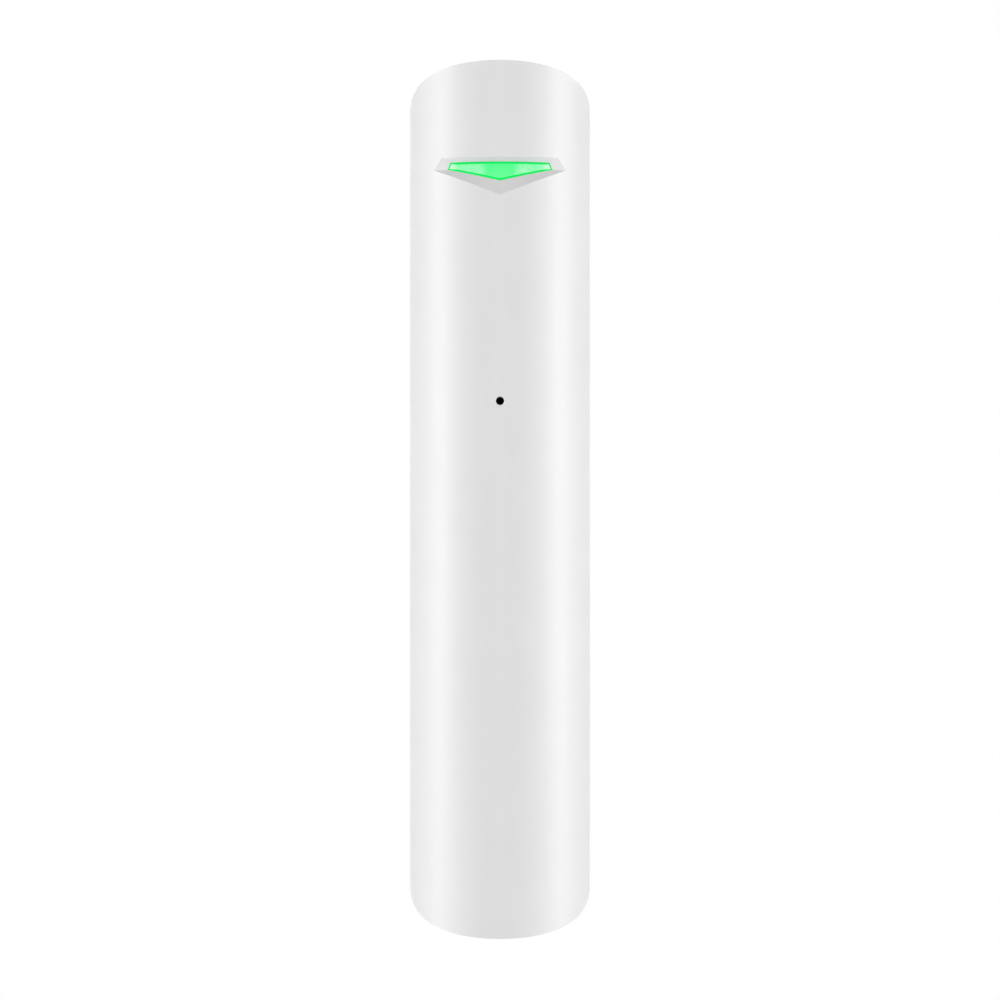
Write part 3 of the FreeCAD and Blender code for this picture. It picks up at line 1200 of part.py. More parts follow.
# Enrolment switch on the back of the board and its key in the rear cover
enrol_switch = cut("enrol_switch",
                   slab("enrol_block", "0", "fits.enrol_face_y", "fits.enrol_z",
                        "sheet.enrol_side", "sheet.enrol_depth", "sheet.enrol_side"),
                   [rod("enrol_well_cut", "0", "fits.enrol_face_y + sheet.overshoot",
                        "fits.enrol_z", "sheet.key_stem + sheet.key_gap",
                        "sheet.enrol_well + sheet.overshoot")])
enrol_key = new_body("enrol_key")
key_sketch = sketch_on(enrol_key, "YZ_Plane", "key_profile")
key_collar_front = "(fits.key_collar_y - sheet.key_collar_depth)"
turned(enrol_key, key_sketch, "key_turning", [
    ("fits.key_back_y", "0"),
    ("fits.key_back_y", "sheet.key_radius"),
    ("fits.key_collar_y", "sheet.key_radius"),
    ("fits.key_collar_y", "sheet.key_radius + sheet.key_collar"),
    (key_collar_front, "sheet.key_radius + sheet.key_collar"),
    (key_collar_front, "sheet.key_stem"),
    (key_collar_front + " - sheet.key_stem_length", "sheet.key_stem"),
    (key_collar_front + " - sheet.key_stem_length", "0"),
], "fits.enrol_z")

PIECES = [
    "bracket_plate", "front_cover", "rear_cover", "light_guide", "indicator_led",
    "acoustic_mesh", "microphone_boot", "microphone_capsule", "microphone_leads",
    "circuit_board", "board_screws", "radio_shield", "microcontroller", "amplifier_chip",
    "crystal", "chip_capacitors", "storage_capacitor", "antenna", "battery",
    "contact_positive", "contact_negative", "holder_upper", "holder_lower",
    "tamper_housing", "tamper_plunger", "tamper_spring", "enrol_switch", "enrol_key",
]

doc.recompute()
for thing in doc.Objects:
    if "Invalid" in thing.State or "Error" in thing.State:
        raise ValueError("%s did not compute" % thing.Label)
os.makedirs("parts", exist_ok=True)
for name in PIECES:
    shape = doc.getObjectsByLabel(name)[0].Shape
    if shape.isNull() or not shape.isValid() or not shape.Solids:
        raise ValueError("%s is not a valid solid" % name)
for name in PIECES:
    doc.getObjectsByLabel(name)[0].Shape.exportStep(os.path.join("parts", name + ".step"))
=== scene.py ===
"""Looks, stage, lamps and camera for a slim wireless glass break sensor on its wall bracket.

Every length is in metres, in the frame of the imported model: X to the right, Z up, and the
wall at Y = 0, with the sensor's front looking along -Y.
"""

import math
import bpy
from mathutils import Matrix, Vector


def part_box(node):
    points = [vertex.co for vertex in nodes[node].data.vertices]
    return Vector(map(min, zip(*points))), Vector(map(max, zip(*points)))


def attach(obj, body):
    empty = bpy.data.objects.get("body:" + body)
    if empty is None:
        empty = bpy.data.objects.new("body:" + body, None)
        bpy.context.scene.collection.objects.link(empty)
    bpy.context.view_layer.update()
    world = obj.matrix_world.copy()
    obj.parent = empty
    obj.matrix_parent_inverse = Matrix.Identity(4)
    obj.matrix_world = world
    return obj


bl_info = {
    "name": "Glass Break Sensor",
    "version": (1, 0, 0),
    "blender": (4, 5, 0),
    "location": "View3D > Sidebar > Sensor",
    "description": "Finishes of a wireless glass break sensor, with a plain studio round it",
    "category": "Object",
}

import bmesh
import bpy
from bpy.props import FloatProperty, FloatVectorProperty, PointerProperty
from mathutils import Vector

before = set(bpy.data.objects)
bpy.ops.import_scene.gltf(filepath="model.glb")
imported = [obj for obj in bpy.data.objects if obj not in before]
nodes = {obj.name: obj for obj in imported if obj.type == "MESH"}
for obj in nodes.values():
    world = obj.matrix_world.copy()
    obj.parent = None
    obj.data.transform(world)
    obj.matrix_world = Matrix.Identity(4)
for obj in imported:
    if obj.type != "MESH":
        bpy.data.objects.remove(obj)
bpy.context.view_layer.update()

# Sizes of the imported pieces. The half-round cover's axis runs up at X = 0 and Y = AXIS_Y.

MM = 0.001
COVER_LOW, COVER_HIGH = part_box("front_cover")
COVER_RADIUS = COVER_HIGH.x
AXIS_Y = COVER_LOW.y + COVER_RADIUS
SCREW_HEAD_RADIUS = 1.4 * MM
LEAD_RADIUS = 0.23 * MM
LEAD_PAD_RADIUS = 0.75 * MM

# A point this near to a flat face counts as on it.
FACE_DEPTH = 0.05 * MM

# Finishes that several pieces share

METAL = 1.0
TIN = (0.78, 0.77, 0.74)
STEEL = (0.62, 0.63, 0.64)
ALUMINIUM = (0.82, 0.83, 0.84)
EPOXY = (0.022, 0.022, 0.024)
BLACK_PLASTIC = (0.026, 0.026, 0.028)
NO_LIGHT = (0.0, 0.0, 0.0)
WHITE = (1.0, 1.0, 1.0, 1.0)

# The Principled shader's sockets, by the names that the finishes use

SOCKETS = {
    "colour": "Base Color",
    "roughness": "Roughness",
    "metallic": "Metallic",
    "normal": "Normal",
    "glow": "Emission Color",
    "glow_strength": "Emission Strength",
    "specular": "Specular IOR Level",
}


# Shader building

class Field:
    """A value over a surface. Arithmetic on it adds Math nodes to its shader."""

    def __init__(self, shader, socket):
        self.shader = shader
        self.socket = socket

    def maths(self, operation, *others):
        return self.shader.maths(operation, self, *others)

    def __add__(self, other):
        return self.maths("ADD", other)

    def __radd__(self, other):
        return self.maths("ADD", other)

    def __sub__(self, other):
        return self.maths("SUBTRACT", other)

    def __rsub__(self, other):
        return self.shader.maths("SUBTRACT", other, self)

    def __mul__(self, other):
        return self.maths("MULTIPLY", other)

    def __rmul__(self, other):
        return self.maths("MULTIPLY", other)

    def __truediv__(self, other):
        return self.maths("DIVIDE", other)

    def __abs__(self):
        return self.maths("ABSOLUTE")

    def least(self, other):
        return self.maths("MINIMUM", other)

    def most(self, other):
        return self.maths("MAXIMUM", other)

    def above(self, level, soft=0.0):
        """One where the value is over a level, with a soft step of a given width."""
        if soft == 0.0:
            return self.maths("GREATER_THAN", level)
        return ((self - level) / soft + 0.5).least(1.0).most(0.0)

    def below(self, level, soft=0.0):
        """One where the value is under a level."""
        if soft == 0.0:
            return self.maths("LESS_THAN", level)
        return 1.0 - self.above(level, soft)

    def between(self, low, high, soft=0.0):
        """One where the value is over one level and under another."""
        return self.above(low, soft) * self.below(high, soft)

    def fold(self, period):
        """Distance to the nearest whole multiple of a period."""
        return self.maths("PINGPONG", period / 2.0)

    def wave(self, pitch):
        """A sine with one turn to each pitch of the value."""
        return (self * (2.0 * math.pi / pitch)).maths("SINE")

    def as_height(self):
        """A wave between minus one and one, moved to lie between nought and one."""
        return self * 0.5 + 0.5


def hypotenuse(across, up):
    """The distance that two fields at right angles make together."""
    return (across * across + up * up).maths("SQRT")


class Shader:
    """The node tree of a material or of the world."""

    def __init__(self, tree):
        self.tree = tree
        tree.nodes.clear()

    def node(self, kind, settings=None, inputs=None, output=0):
        """Adds a node, sets it, fills or links its sockets, and gives one of its outputs."""
        made = self.tree.nodes.new(kind)
        for name, value in (settings or {}).items():
            setattr(made, name, value)
        for name, value in (inputs or {}).items():
            if isinstance(value, Field):
                self.tree.links.new(value.socket, made.inputs[name])
            else:
                made.inputs[name].default_value = value
        return Field(self, made.outputs[output]) if made.outputs else None

    def maths(self, operation, *values):
        return self.node("ShaderNodeMath", {"operation": operation}, dict(enumerate(values)))

    def place(self):
        """The point on the piece, in the frame's metres, which moves with the piece."""
        return self.node("ShaderNodeTexCoord", output="Object")

    def axes(self, vector):
        """A vector's or a colour's three parts."""
        part = self.node("ShaderNodeSeparateXYZ", None, {0: vector})
        return [Field(self, socket) for socket in part.socket.node.outputs]

    def noise(self, size, detail, roughness, vector=None):
        """Cloudy noise whose features are about one size across."""
        return self.node("ShaderNodeTexNoise", None, {
            "Vector": vector or self.place(), "Scale": 1.0 / size, "Detail": detail,
            "Roughness": roughness})

    def blend(self, factor, first, second, kind="MIX"):
        """Two colours mixed by a field."""
        return self.node("ShaderNodeMix", {"data_type": "RGBA", "blend_type": kind},
                         {0: factor, 6: solid(first), 7: solid(second)}, output=2)

    def share(self, factor, first, second):
        """Two numbers or fields mixed by a field."""
        if first == second:
            return first
        return factor * (second - first) + first

    def seen_directly(self):
        """One for rays that come from the camera, a mirror or through glass."""
        seen = self.node("ShaderNodeLightPath", output="Is Camera Ray")
        for kind in ("Is Glossy Ray", "Is Transmission Ray"):
            seen = seen.most(self.node("ShaderNodeLightPath", output=kind))
        return seen

    def bump(self, height, depth, under=None):
        """A bumped normal from a height that runs from nought to one over a depth."""
        inputs = {"Height": height, "Distance": depth, "Strength": 1.0}
        if under is not None:
            inputs["Normal"] = under
        return self.node("ShaderNodeBump", None, inputs)

    def surface(self, **sockets):
        """The Principled shader, its sockets by their short names, and the output."""
        inputs = {}
        for name, value in sockets.items():
            inputs[SOCKETS[name]] = solid(value) if name in ("colour", "glow") else value
        self.output(self.node("ShaderNodeBsdfPrincipled", None, inputs))

    def output(self, shaded, kind="ShaderNodeOutputMaterial"):
        self.node(kind, None, {"Surface": shaded})


def solid(colour):
    """A colour with its fourth value, or a field as it is."""
    if isinstance(colour, Field):
        return colour
    return tuple(colour)[:3] + (1.0,)


def finish_material(name):
    """A new material and the shader that builds it."""
    material = bpy.data.materials.new(name)
    material.use_nodes = True
    return material, Shader(material.node_tree)


def dress(material, *names):
    """Gives CAD nodes one material."""
    for name in names:
        piece = nodes[name]
        piece.data.materials.clear()
        piece.data.materials.append(material)


def corners(name):
    """A node's lowest and highest corners at rest, and its middle."""
    low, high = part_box(name)
    return low, high, (low + high) / 2.0


def lead_places():
    """How far each microphone lead stands from the middle, and the leads' height."""
    _, high, middle = corners("microphone_leads")
    return high.x - LEAD_RADIUS, middle.z


class Layers:
    """Finishes laid one over another, each kept to its own region of a surface."""

    def __init__(self, name, colour, roughness, metallic=0.0):
        self.material, self.shader = finish_material(name)
        self.colour = colour
        self.roughness = roughness
        self.metallic = metallic
        self.normal = None
        self.point = self.shader.place()
        self.x, self.y, self.z = self.shader.axes(self.point)

    def lay(self, region, colour, roughness, metallic=0.0):
        """Covers a region with another finish."""
        self.colour = self.shader.blend(region, self.colour, colour)
        self.roughness = self.shader.share(region, self.roughness, roughness)
        self.metallic = self.shader.share(region, self.metallic, metallic)

    def emboss(self, height, depth):
        """Raises the surface where the height is one."""
        self.normal = self.shader.bump(height, depth, self.normal)

    def noise(self, size, detail=3.0, stretch=None):
        """Cloudy noise, drawn out where a stretch is given for each axis."""
        vector = self.point
        if stretch is not None:
            vector = self.shader.node("ShaderNodeVectorMath", {"operation": "MULTIPLY"},
                                      {0: self.point, 1: stretch})
        return self.shader.noise(size, detail, roughness=0.6, vector=vector)

    def grain(self, cloud, depth, wear):
        """Lets a noise shade, roughen and raise the surface."""
        level = (1.0 - wear,) * 3
        shaded = self.shader.blend(1.0, self.colour, level, "MULTIPLY")
        self.colour = self.shader.blend(cloud, self.colour, shaded)
        self.roughness = self.roughness + (cloud - 0.5) * wear
        self.emboss(cloud, depth)

    def brush(self, size, stretch, depth):
        """Fine streaks along one direction, as drawn or rolled metal has."""
        self.grain(self.noise(size, detail=2.0, stretch=stretch), depth, wear=0.12)

    def mottle(self, size, depth, wear):
        """Cloudy grain, as moulded or fired pieces have."""
        self.grain(self.noise(size), depth, wear)

    def away_from(self, x, z):
        """Distance from a point of the board, looking along its depth."""
        return hypotenuse(self.x - x, self.z - z)

    def from_leads(self):
        """Distance from the nearer microphone lead, looking along the depth."""
        across, level = lead_places()
        return hypotenuse(abs(self.x) - across, self.z - level)

    def from_screws(self):
        """Distance from the nearest board screw's middle, looking along the depth."""
        low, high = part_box("board_screws")
        across = abs(self.x) - (high.x - SCREW_HEAD_RADIUS)
        over_upper = abs(self.z - (high.z - SCREW_HEAD_RADIUS))
        over_lower = abs(self.z - (low.z + SCREW_HEAD_RADIUS))
        return hypotenuse(across, over_upper.least(over_lower))

    def gap_to(self, *names):
        """Distance over the board to the nearest of some nodes, negative over them."""
        nearest = None
        for name in names:
            _, high, middle = corners(name)
            half = high - middle
            gap = (abs(self.x - middle.x) - half.x).most(abs(self.z - middle.z) - half.z)
            nearest = gap if nearest is None else nearest.least(gap)
        return nearest

    def finished(self, **sockets):
        """Builds the surface from the layers and gives the material."""
        if self.normal is not None:
            sockets["normal"] = self.normal
        self.shader.surface(colour=self.colour, roughness=self.roughness,
                            metallic=self.metallic, **sockets)
        return self.material

    def dress(self, *names, **sockets):
        """Builds the surface and gives it to CAD nodes."""
        dress(self.finished(**sockets), *names)


# Sizes and colours that a user would change

class SensorFinish(bpy.types.PropertyGroup):
    """Colours and textures of the sensor's pieces."""

    cover_colour: FloatVectorProperty(
        name="Cover colour", description="Colour of the moulded covers",
        subtype="COLOR", size=3, min=0.0, max=1.0, default=(0.80, 0.80, 0.80))
    bracket_colour: FloatVectorProperty(
        name="Bracket colour", description="Colour of the wall bracket",
        subtype="COLOR", size=3, min=0.0, max=1.0, default=(0.74, 0.74, 0.725))
    grain_size: FloatProperty(
        name="Grain size", description="Size of the fine grain on the moulded covers",
        subtype="DISTANCE", unit="LENGTH", default=0.22 * MM, min=0.01 * MM)
    grain_depth: FloatProperty(
        name="Grain depth", description="Depth of the fine grain on the moulded covers",
        subtype="DISTANCE", unit="LENGTH", default=0.0025 * MM, min=0.0)
    lit_colour: FloatVectorProperty(
        name="Lit colour", description="Colour of the middle of the lit window",
        subtype="COLOR", size=3, min=0.0, max=1.0, default=(0.085, 0.95, 0.25))
    side_colour: FloatVectorProperty(
        name="Side colour", description="Paler colour of the lit window beside its middle",
        subtype="COLOR", size=3, min=0.0, max=1.0, default=(0.38, 0.96, 0.52))
    # A painted highlight: the near-white ends stand in for the side lamps' reflection in the
    # window.
    end_highlight_colour: FloatVectorProperty(
        name="End colour", description="Nearly white colour at the lit window's two ends",
        subtype="COLOR", size=3, min=0.0, max=1.0, default=(0.88, 0.985, 0.90))
    rim_colour: FloatVectorProperty(
        name="Rim colour", description="Deep colour along the lit window's edge",
        subtype="COLOR", size=3, min=0.0, max=1.0, default=(0.0, 0.78, 0.10))
    rim_width: FloatProperty(
        name="Rim width", description="Width of the deeper rim of the lit window",
        subtype="DISTANCE", unit="LENGTH", default=0.23 * MM, min=0.0)
    window_top_half: FloatProperty(
        name="Window top", description="Half width of the window along its top",
        subtype="DISTANCE", unit="LENGTH", default=5.22 * MM)
    window_side_half: FloatProperty(
        name="Window side", description="Half width of the window at its side corners",
        subtype="DISTANCE", unit="LENGTH", default=5.56 * MM)
    window_top: FloatProperty(
        name="Window height", description="Height of the window's top edge",
        subtype="DISTANCE", unit="LENGTH", default=35.65 * MM)
    window_side_drop: FloatProperty(
        name="Side drop", description="From the window's top to its side corners",
        subtype="DISTANCE", unit="LENGTH", default=0.74 * MM)
    window_point_drop: FloatProperty(
        name="Point drop", description="From the window's top to its lower point",
        subtype="DISTANCE", unit="LENGTH", default=1.99 * MM)
    board_colour: FloatVectorProperty(
        name="Board colour", description="Colour of the board's solder resist",
        subtype="COLOR", size=3, min=0.0, max=1.0, default=(0.008, 0.09, 0.03))
    sleeve_colour: FloatVectorProperty(
        name="Sleeve colour", description="Colour of the cell's sleeve",
        subtype="COLOR", size=3, min=0.0, max=1.0, default=(0.02, 0.045, 0.12))


class SensorStage(bpy.types.PropertyGroup):
    """Camera, lamps and floor."""

    lens: FloatProperty(
        name="Lens", description="Focal length of the camera in millimetres",
        subtype="DISTANCE_CAMERA", unit="CAMERA", default=143.96, min=10.0)
    camera_distance: FloatProperty(
        name="Camera distance", description="From the sensor's axis to the camera",
        subtype="DISTANCE", unit="LENGTH", default=0.4311, min=0.05)
    camera_height: FloatProperty(
        name="Camera height", description="Height of the camera over the sensor's middle",
        subtype="DISTANCE", unit="LENGTH", default=-0.06 * MM)
    floor_drop: FloatProperty(
        name="Floor drop", description="From the sensor's middle down to the floor",
        subtype="DISTANCE", unit="LENGTH", default=0.12, min=0.05)
    world_light: FloatProperty(
        name="World light", description="Strength of the even light from all round",
        default=0.0, min=0.0)
    side_light: FloatProperty(
        name="Side light", description="Power of each of the two side lamps",
        subtype="POWER", unit="POWER", default=2.4, min=0.0)
    front_light: FloatProperty(
        name="Front light", description="Power of the large front lamp",
        subtype="POWER", unit="POWER", default=22.2, min=0.0)
    back_light: FloatProperty(
        name="Back light", description="Power of the large lamp behind and above",
        subtype="POWER", unit="POWER", default=5.0, min=0.0)


# Covers and bracket

def moulded(name, finish):
    """Matte moulded plastic with a spark-eroded grain and faint flow marks."""
    flow_size, flow_shade = 9.0 * MM, 0.012
    roughness, rough_range = 0.48, 0.08
    material, shader = finish_material(name)
    grain = shader.noise(finish.grain_size, detail=3.0, roughness=0.6)
    flow = shader.noise(flow_size, detail=2.0, roughness=0.5)
    deep = tuple(part * (1.0 - flow_shade) for part in finish.cover_colour)
    pale = tuple(min(1.0, part * (1.0 + flow_shade)) for part in finish.cover_colour)
    shader.surface(
        colour=shader.blend(flow, deep, pale),
        roughness=roughness + (grain - 0.5) * rough_range,
        normal=shader.bump(grain, finish.grain_depth))
    return material


class SENSOR_OT_front_cover(bpy.types.Operator):
    """Gives the front cover its matte moulded plastic"""

    bl_idname = "sensor.front_cover"
    bl_label = "Front Cover"

    def execute(self, context):
        dress(moulded("front_plastic", context.scene.sensor_finish), "front_cover")
        return {"FINISHED"}


class SENSOR_OT_rear_cover(bpy.types.Operator):
    """Gives the rear cover its matte moulded plastic"""

    bl_idname = "sensor.rear_cover"
    bl_label = "Rear Cover"

    def execute(self, context):
        dress(moulded("rear_plastic", context.scene.sensor_finish), "rear_cover")
        return {"FINISHED"}


class SENSOR_OT_wall_bracket(bpy.types.Operator):
    """Gives the wall bracket its plastic, with flow marks and ejector marks"""

    bl_idname = "sensor.wall_bracket"
    bl_label = "Wall Bracket"

    def execute(self, context):
        finish = context.scene.sensor_finish
        layers = Layers("bracket_plastic", finish.bracket_colour, 0.5)
        layers.mottle(size=finish.grain_size, depth=finish.grain_depth, wear=0.06)
        flow = layers.noise(7.0 * MM, detail=2.0, stretch=(1.0, 1.0, 0.25)).above(0.58, 0.3)
        layers.lay(flow * 0.5, (0.70, 0.70, 0.68), 0.52)
        pin_column, pin_pitch = 4.0 * MM, 14.0 * MM
        pin_radius, pin_line, pin_soft = 1.4 * MM, 0.15 * MM, 0.05 * MM
        from_pin = hypotenuse(abs(layers.x) - pin_column, layers.z.fold(pin_pitch))
        ring = from_pin.between(pin_radius - pin_line, pin_radius, pin_soft)
        wall_face = layers.y.above(-0.3 * MM)
        layers.emboss(ring * wall_face, depth=0.02 * MM)
        layers.dress("bracket_plate")
        return {"FINISHED"}


# Indicator

class SENSOR_OT_light_guide(bpy.types.Operator):
    """Lights the indicator window and clears its guide"""

    bl_idname = "sensor.light_guide"
    bl_label = "Light Guide"

    def execute(self, context):
        finish = context.scene.sensor_finish
        material, shader = finish_material("lit_window")
        x, y, z = shader.axes(shader.place())
        window_depth, light_on_others = 0.8 * MM, 0.15
        face = hypotenuse(x, y - AXIS_Y).above(COVER_RADIUS - window_depth)
        glowing = face * (light_on_others + shader.seen_directly() * (1.0 - light_on_others))
        haze = shader.noise(0.3 * MM, detail=3.0, roughness=0.6)
        clear = shader.blend(haze, (0.58, 0.66, 0.60), (0.70, 0.76, 0.71))
        shader.surface(
            colour=shader.blend(face, clear, (0.0, 0.12, 0.03)),
            roughness=0.28 + haze * 0.1,
            glow=shader.blend(glowing, NO_LIGHT, self.light(shader, finish, abs(x), z)),
            glow_strength=0.97, specular=0.06)
        dress(material, "light_guide")
        return {"FINISHED"}

    def light(self, shader, finish, across, z):
        """Green in the middle, cloudy and paler beside it, and nearly white at the two ends,
        which is a painted highlight for the side lamps' reflection.
        """
        middle_half, middle_soft = 1.75 * MM, 0.8 * MM
        highlight_start, highlight_soft = 4.9 * MM, 0.9 * MM
        rim_soft, end_rim_loss = 0.05 * MM, 0.35
        pale_at_top, pale_fall, pale_cloud, tint = 0.55, 0.5, 2.2, 0.12
        beside = across.above(middle_half, middle_soft)
        # The near-white ends are a painted highlight, where the side lamps would reflect in the
        # window.
        end = across.above(highlight_start, highlight_soft)
        cloud = shader.noise(0.28 * MM, detail=3.0, roughness=0.7)
        fall = (finish.window_top - z) / finish.window_point_drop
        paler = (pale_at_top + fall * pale_fall + (cloud - 0.5) * pale_cloud) * beside
        lit = shader.blend(paler, finish.lit_colour, finish.side_colour)
        lit = shader.blend(end, lit, finish.end_highlight_colour)
        lit = shader.blend(fall * tint, lit, (0.6, 1.0, 0.65))
        rim_width = (1.0 - end * end_rim_loss) * finish.rim_width
        rim = self.depth_inside(finish, across, z).below(rim_width, rim_soft)
        return shader.blend(rim, lit, finish.rim_colour)

    def depth_inside(self, finish, across, z):
        """How far inside the window's edge a point lies."""
        outline = (
            (finish.window_top_half, finish.window_top),
            (finish.window_side_half, finish.window_top - finish.window_side_drop),
            (0.0, finish.window_top - finish.window_point_drop),
        )
        nearest = finish.window_top - z
        for (first_x, first_z), (last_x, last_z) in zip(outline, outline[1:]):
            length = math.hypot(last_x - first_x, last_z - first_z)
            run, rise = (last_x - first_x) / length, (last_z - first_z) / length
            nearest = nearest.least((across - first_x) * rise - (z - first_z) * run)
        return nearest


class SENSOR_OT_indicator_lamp(bpy.types.Operator):
    """Gives the indicator lamp its white base and clear lens"""

    bl_idname = "sensor.indicator_lamp"
    bl_label = "Indicator Lamp"

    def execute(self, context):
        base_depth, tin_length = 0.62 * MM, 0.32 * MM
        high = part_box("indicator_led")[1]
        layers = Layers("lamp_body", (0.74, 0.75, 0.71), 0.4)
        lens = layers.y.below(high.y - base_depth)
        layers.mottle(size=0.1 * MM, depth=0.002 * MM, wear=0.06)
        layers.lay(abs(layers.x).above(high.x - tin_length), TIN, 0.3, METAL)
        layers.lay(lens, (0.30, 0.62, 0.34), 0.08)
        layers.dress("indicator_led", glow_strength=0.8,
                     glow=layers.shader.blend(lens, NO_LIGHT, (0.08, 0.8, 0.2)))
        return {"FINISHED"}


# Pieces inside

class SENSOR_OT_microphone(bpy.types.Operator):
    """Dresses the microphone with its mesh, boot, can and leads"""

    bl_idname = "sensor.microphone"
    bl_label = "Microphone"

    def execute(self, context):
        self.cloth()
        self.boot()
        self.capsule()
        leads = Layers("lead_tin", TIN, 0.25, METAL)
        leads.brush(size=0.05 * MM, stretch=(1.0, 0.1, 1.0), depth=0.002 * MM)
        leads.dress("microphone_leads")
        return {"FINISHED"}

    def cloth(self):
        """Plain woven cloth, its threads over and under each other."""
        thread, gap_level = 0.11 * MM, 0.3
        layers = Layers("mesh_cloth", (0.0045, 0.0045, 0.005), 0.8)
        warp, weft = layers.x.wave(2.0 * thread), layers.z.wave(2.0 * thread)
        # The gaps between the threads are painted darker: painted shade for the dark seen through
        # them.
        shaded_gaps = abs(warp).least(abs(weft)).below(gap_level)
        layers.lay(shaded_gaps, (0.001, 0.001, 0.001), 0.9)
        layers.emboss((warp * weft).as_height(), depth=0.03 * MM)
        layers.mottle(size=0.6 * MM, depth=0.002 * MM, wear=0.25)
        layers.dress("acoustic_mesh", specular=0.05)

    def boot(self):
        """Dull rubber with the fine line where its mould parted."""
        layers = Layers("boot_rubber", (0.028, 0.028, 0.03), 0.72)
        layers.mottle(size=0.35 * MM, depth=0.006 * MM, wear=0.2)
        parting = abs(layers.z - corners("microphone_boot")[2].z)
        layers.emboss(parting.below(0.06 * MM, 0.04 * MM), depth=0.03 * MM)
        layers.dress("microphone_boot")

    def capsule(self):
        """A drawn aluminium can that is closed behind by a small board with two pads."""
        back_depth, board_radius = 0.02 * MM, 2.6 * MM
        layers = Layers("capsule_can", ALUMINIUM, 0.3, METAL)
        layers.brush(size=0.06 * MM, stretch=(1.0, 0.06, 1.0), depth=0.002 * MM)
        middle = corners("microphone_boot")[2]
        back = layers.y.above(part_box("microphone_capsule")[1].y - back_depth)
        board = layers.away_from(middle.x, middle.z).below(board_radius)
        layers.lay(back * board, (0.035, 0.12, 0.05), 0.4)
        layers.lay(back * layers.from_leads().below(LEAD_PAD_RADIUS), TIN, 0.28, METAL)
        layers.dress("microphone_capsule")


class SENSOR_OT_circuit_board(bpy.types.Operator):
    """Dresses the circuit board with its resist, tracks, pads and outlines"""

    bl_idname = "sensor.circuit_board"
    bl_label = "Circuit Board"

    def execute(self, context):
        finish = context.scene.sensor_finish
        low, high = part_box("circuit_board")
        front_depth, resist_depth = 0.1 * MM, 0.04 * MM
        board = Layers("board_resist", finish.board_colour, 0.32)
        copper = self.tracks(board).most(self.ground(board))
        paler = tuple(1.9 * part + 0.004 for part in finish.board_colour)
        board.lay(copper, paler, 0.3)
        board.emboss(copper, depth=0.02 * MM)
        board.mottle(size=0.8 * MM, depth=0.002 * MM, wear=0.15)
        front = board.y.below(low.y + front_depth)
        self.outlines(board, front)
        tinned = self.pads(board, front)
        board.lay(tinned, TIN, 0.3, METAL)
        board.emboss(tinned, depth=0.015 * MM)
        edge = board.y.between(low.y + resist_depth, high.y - resist_depth)
        board.lay(edge, (0.42, 0.40, 0.22), 0.65)
        board.dress("circuit_board")
        return {"FINISHED"}

    def tracks(self, board):
        """Runs of copper under the resist, straight in patches that change direction."""
        patch_size, pitch, half_width = 5.0 * MM, 0.62 * MM, 0.11 * MM
        upright_from, slanted_from, bare_up_to = 0.45, 0.8, 0.35
        diagonal = math.sqrt(0.5)
        shader = board.shader
        patch = shader.node("ShaderNodeTexVoronoi", {"feature": "F1", "distance": "MANHATTAN"},
                            {"Vector": board.point, "Scale": 1.0 / patch_size}, output="Color")
        turn, present, _ = shader.axes(patch)
        across = board.x.fold(pitch).below(half_width)
        up = board.z.fold(pitch).below(half_width)
        slope = ((board.x + board.z) * diagonal).fold(pitch).below(half_width)
        straight = shader.share(turn.above(upright_from), across, up)
        runs = shader.share(turn.above(slanted_from), straight, slope)
        return runs * present.above(bare_up_to)

    def ground(self, board):
        """The net of copper that fills the board's lower part."""
        net_top, pitch, half_width = 6.0 * MM, 0.9 * MM, 0.2 * MM
        net = board.x.fold(pitch).least(board.z.fold(pitch)).below(half_width)
        return board.z.below(net_top) * net

    def outlines(self, board, front):
        """White lines printed round the parts, a little thinner round the small ones."""
        line_start, line_end, small_line_end = 0.28 * MM, 0.42 * MM, 0.40 * MM
        large = board.gap_to("microcontroller", "crystal", "amplifier_chip", "radio_shield",
                             "storage_capacitor", "tamper_housing")
        small = board.gap_to("chip_capacitors", "indicator_led")
        for gap, end in ((large, line_end), (small, small_line_end)):
            board.lay(front * gap.between(line_start, end), (0.78, 0.79, 0.76), 0.6)

    def pads(self, board, front):
        """Bare tinned copper round the screws, the leads, the soldered feet and the vias."""
        screw_margin, foot_margin = 0.45 * MM, 0.2 * MM
        via_across, via_up, via_radius = 2.3 * MM, 3.1 * MM, 0.2 * MM
        tinned = board.from_screws().below(SCREW_HEAD_RADIUS + screw_margin)
        tinned = tinned.most(board.from_leads().below(LEAD_PAD_RADIUS))
        feet = board.gap_to("contact_positive", "contact_negative", "antenna", "chip_capacitors",
                            "amplifier_chip")
        tinned = tinned.most(feet.below(foot_margin) * front)
        drilled = board.noise(6.0 * MM).above(0.52)
        via = hypotenuse(board.x.fold(via_across), board.z.fold(via_up))
        return tinned.most(via.below(via_radius) * drilled)


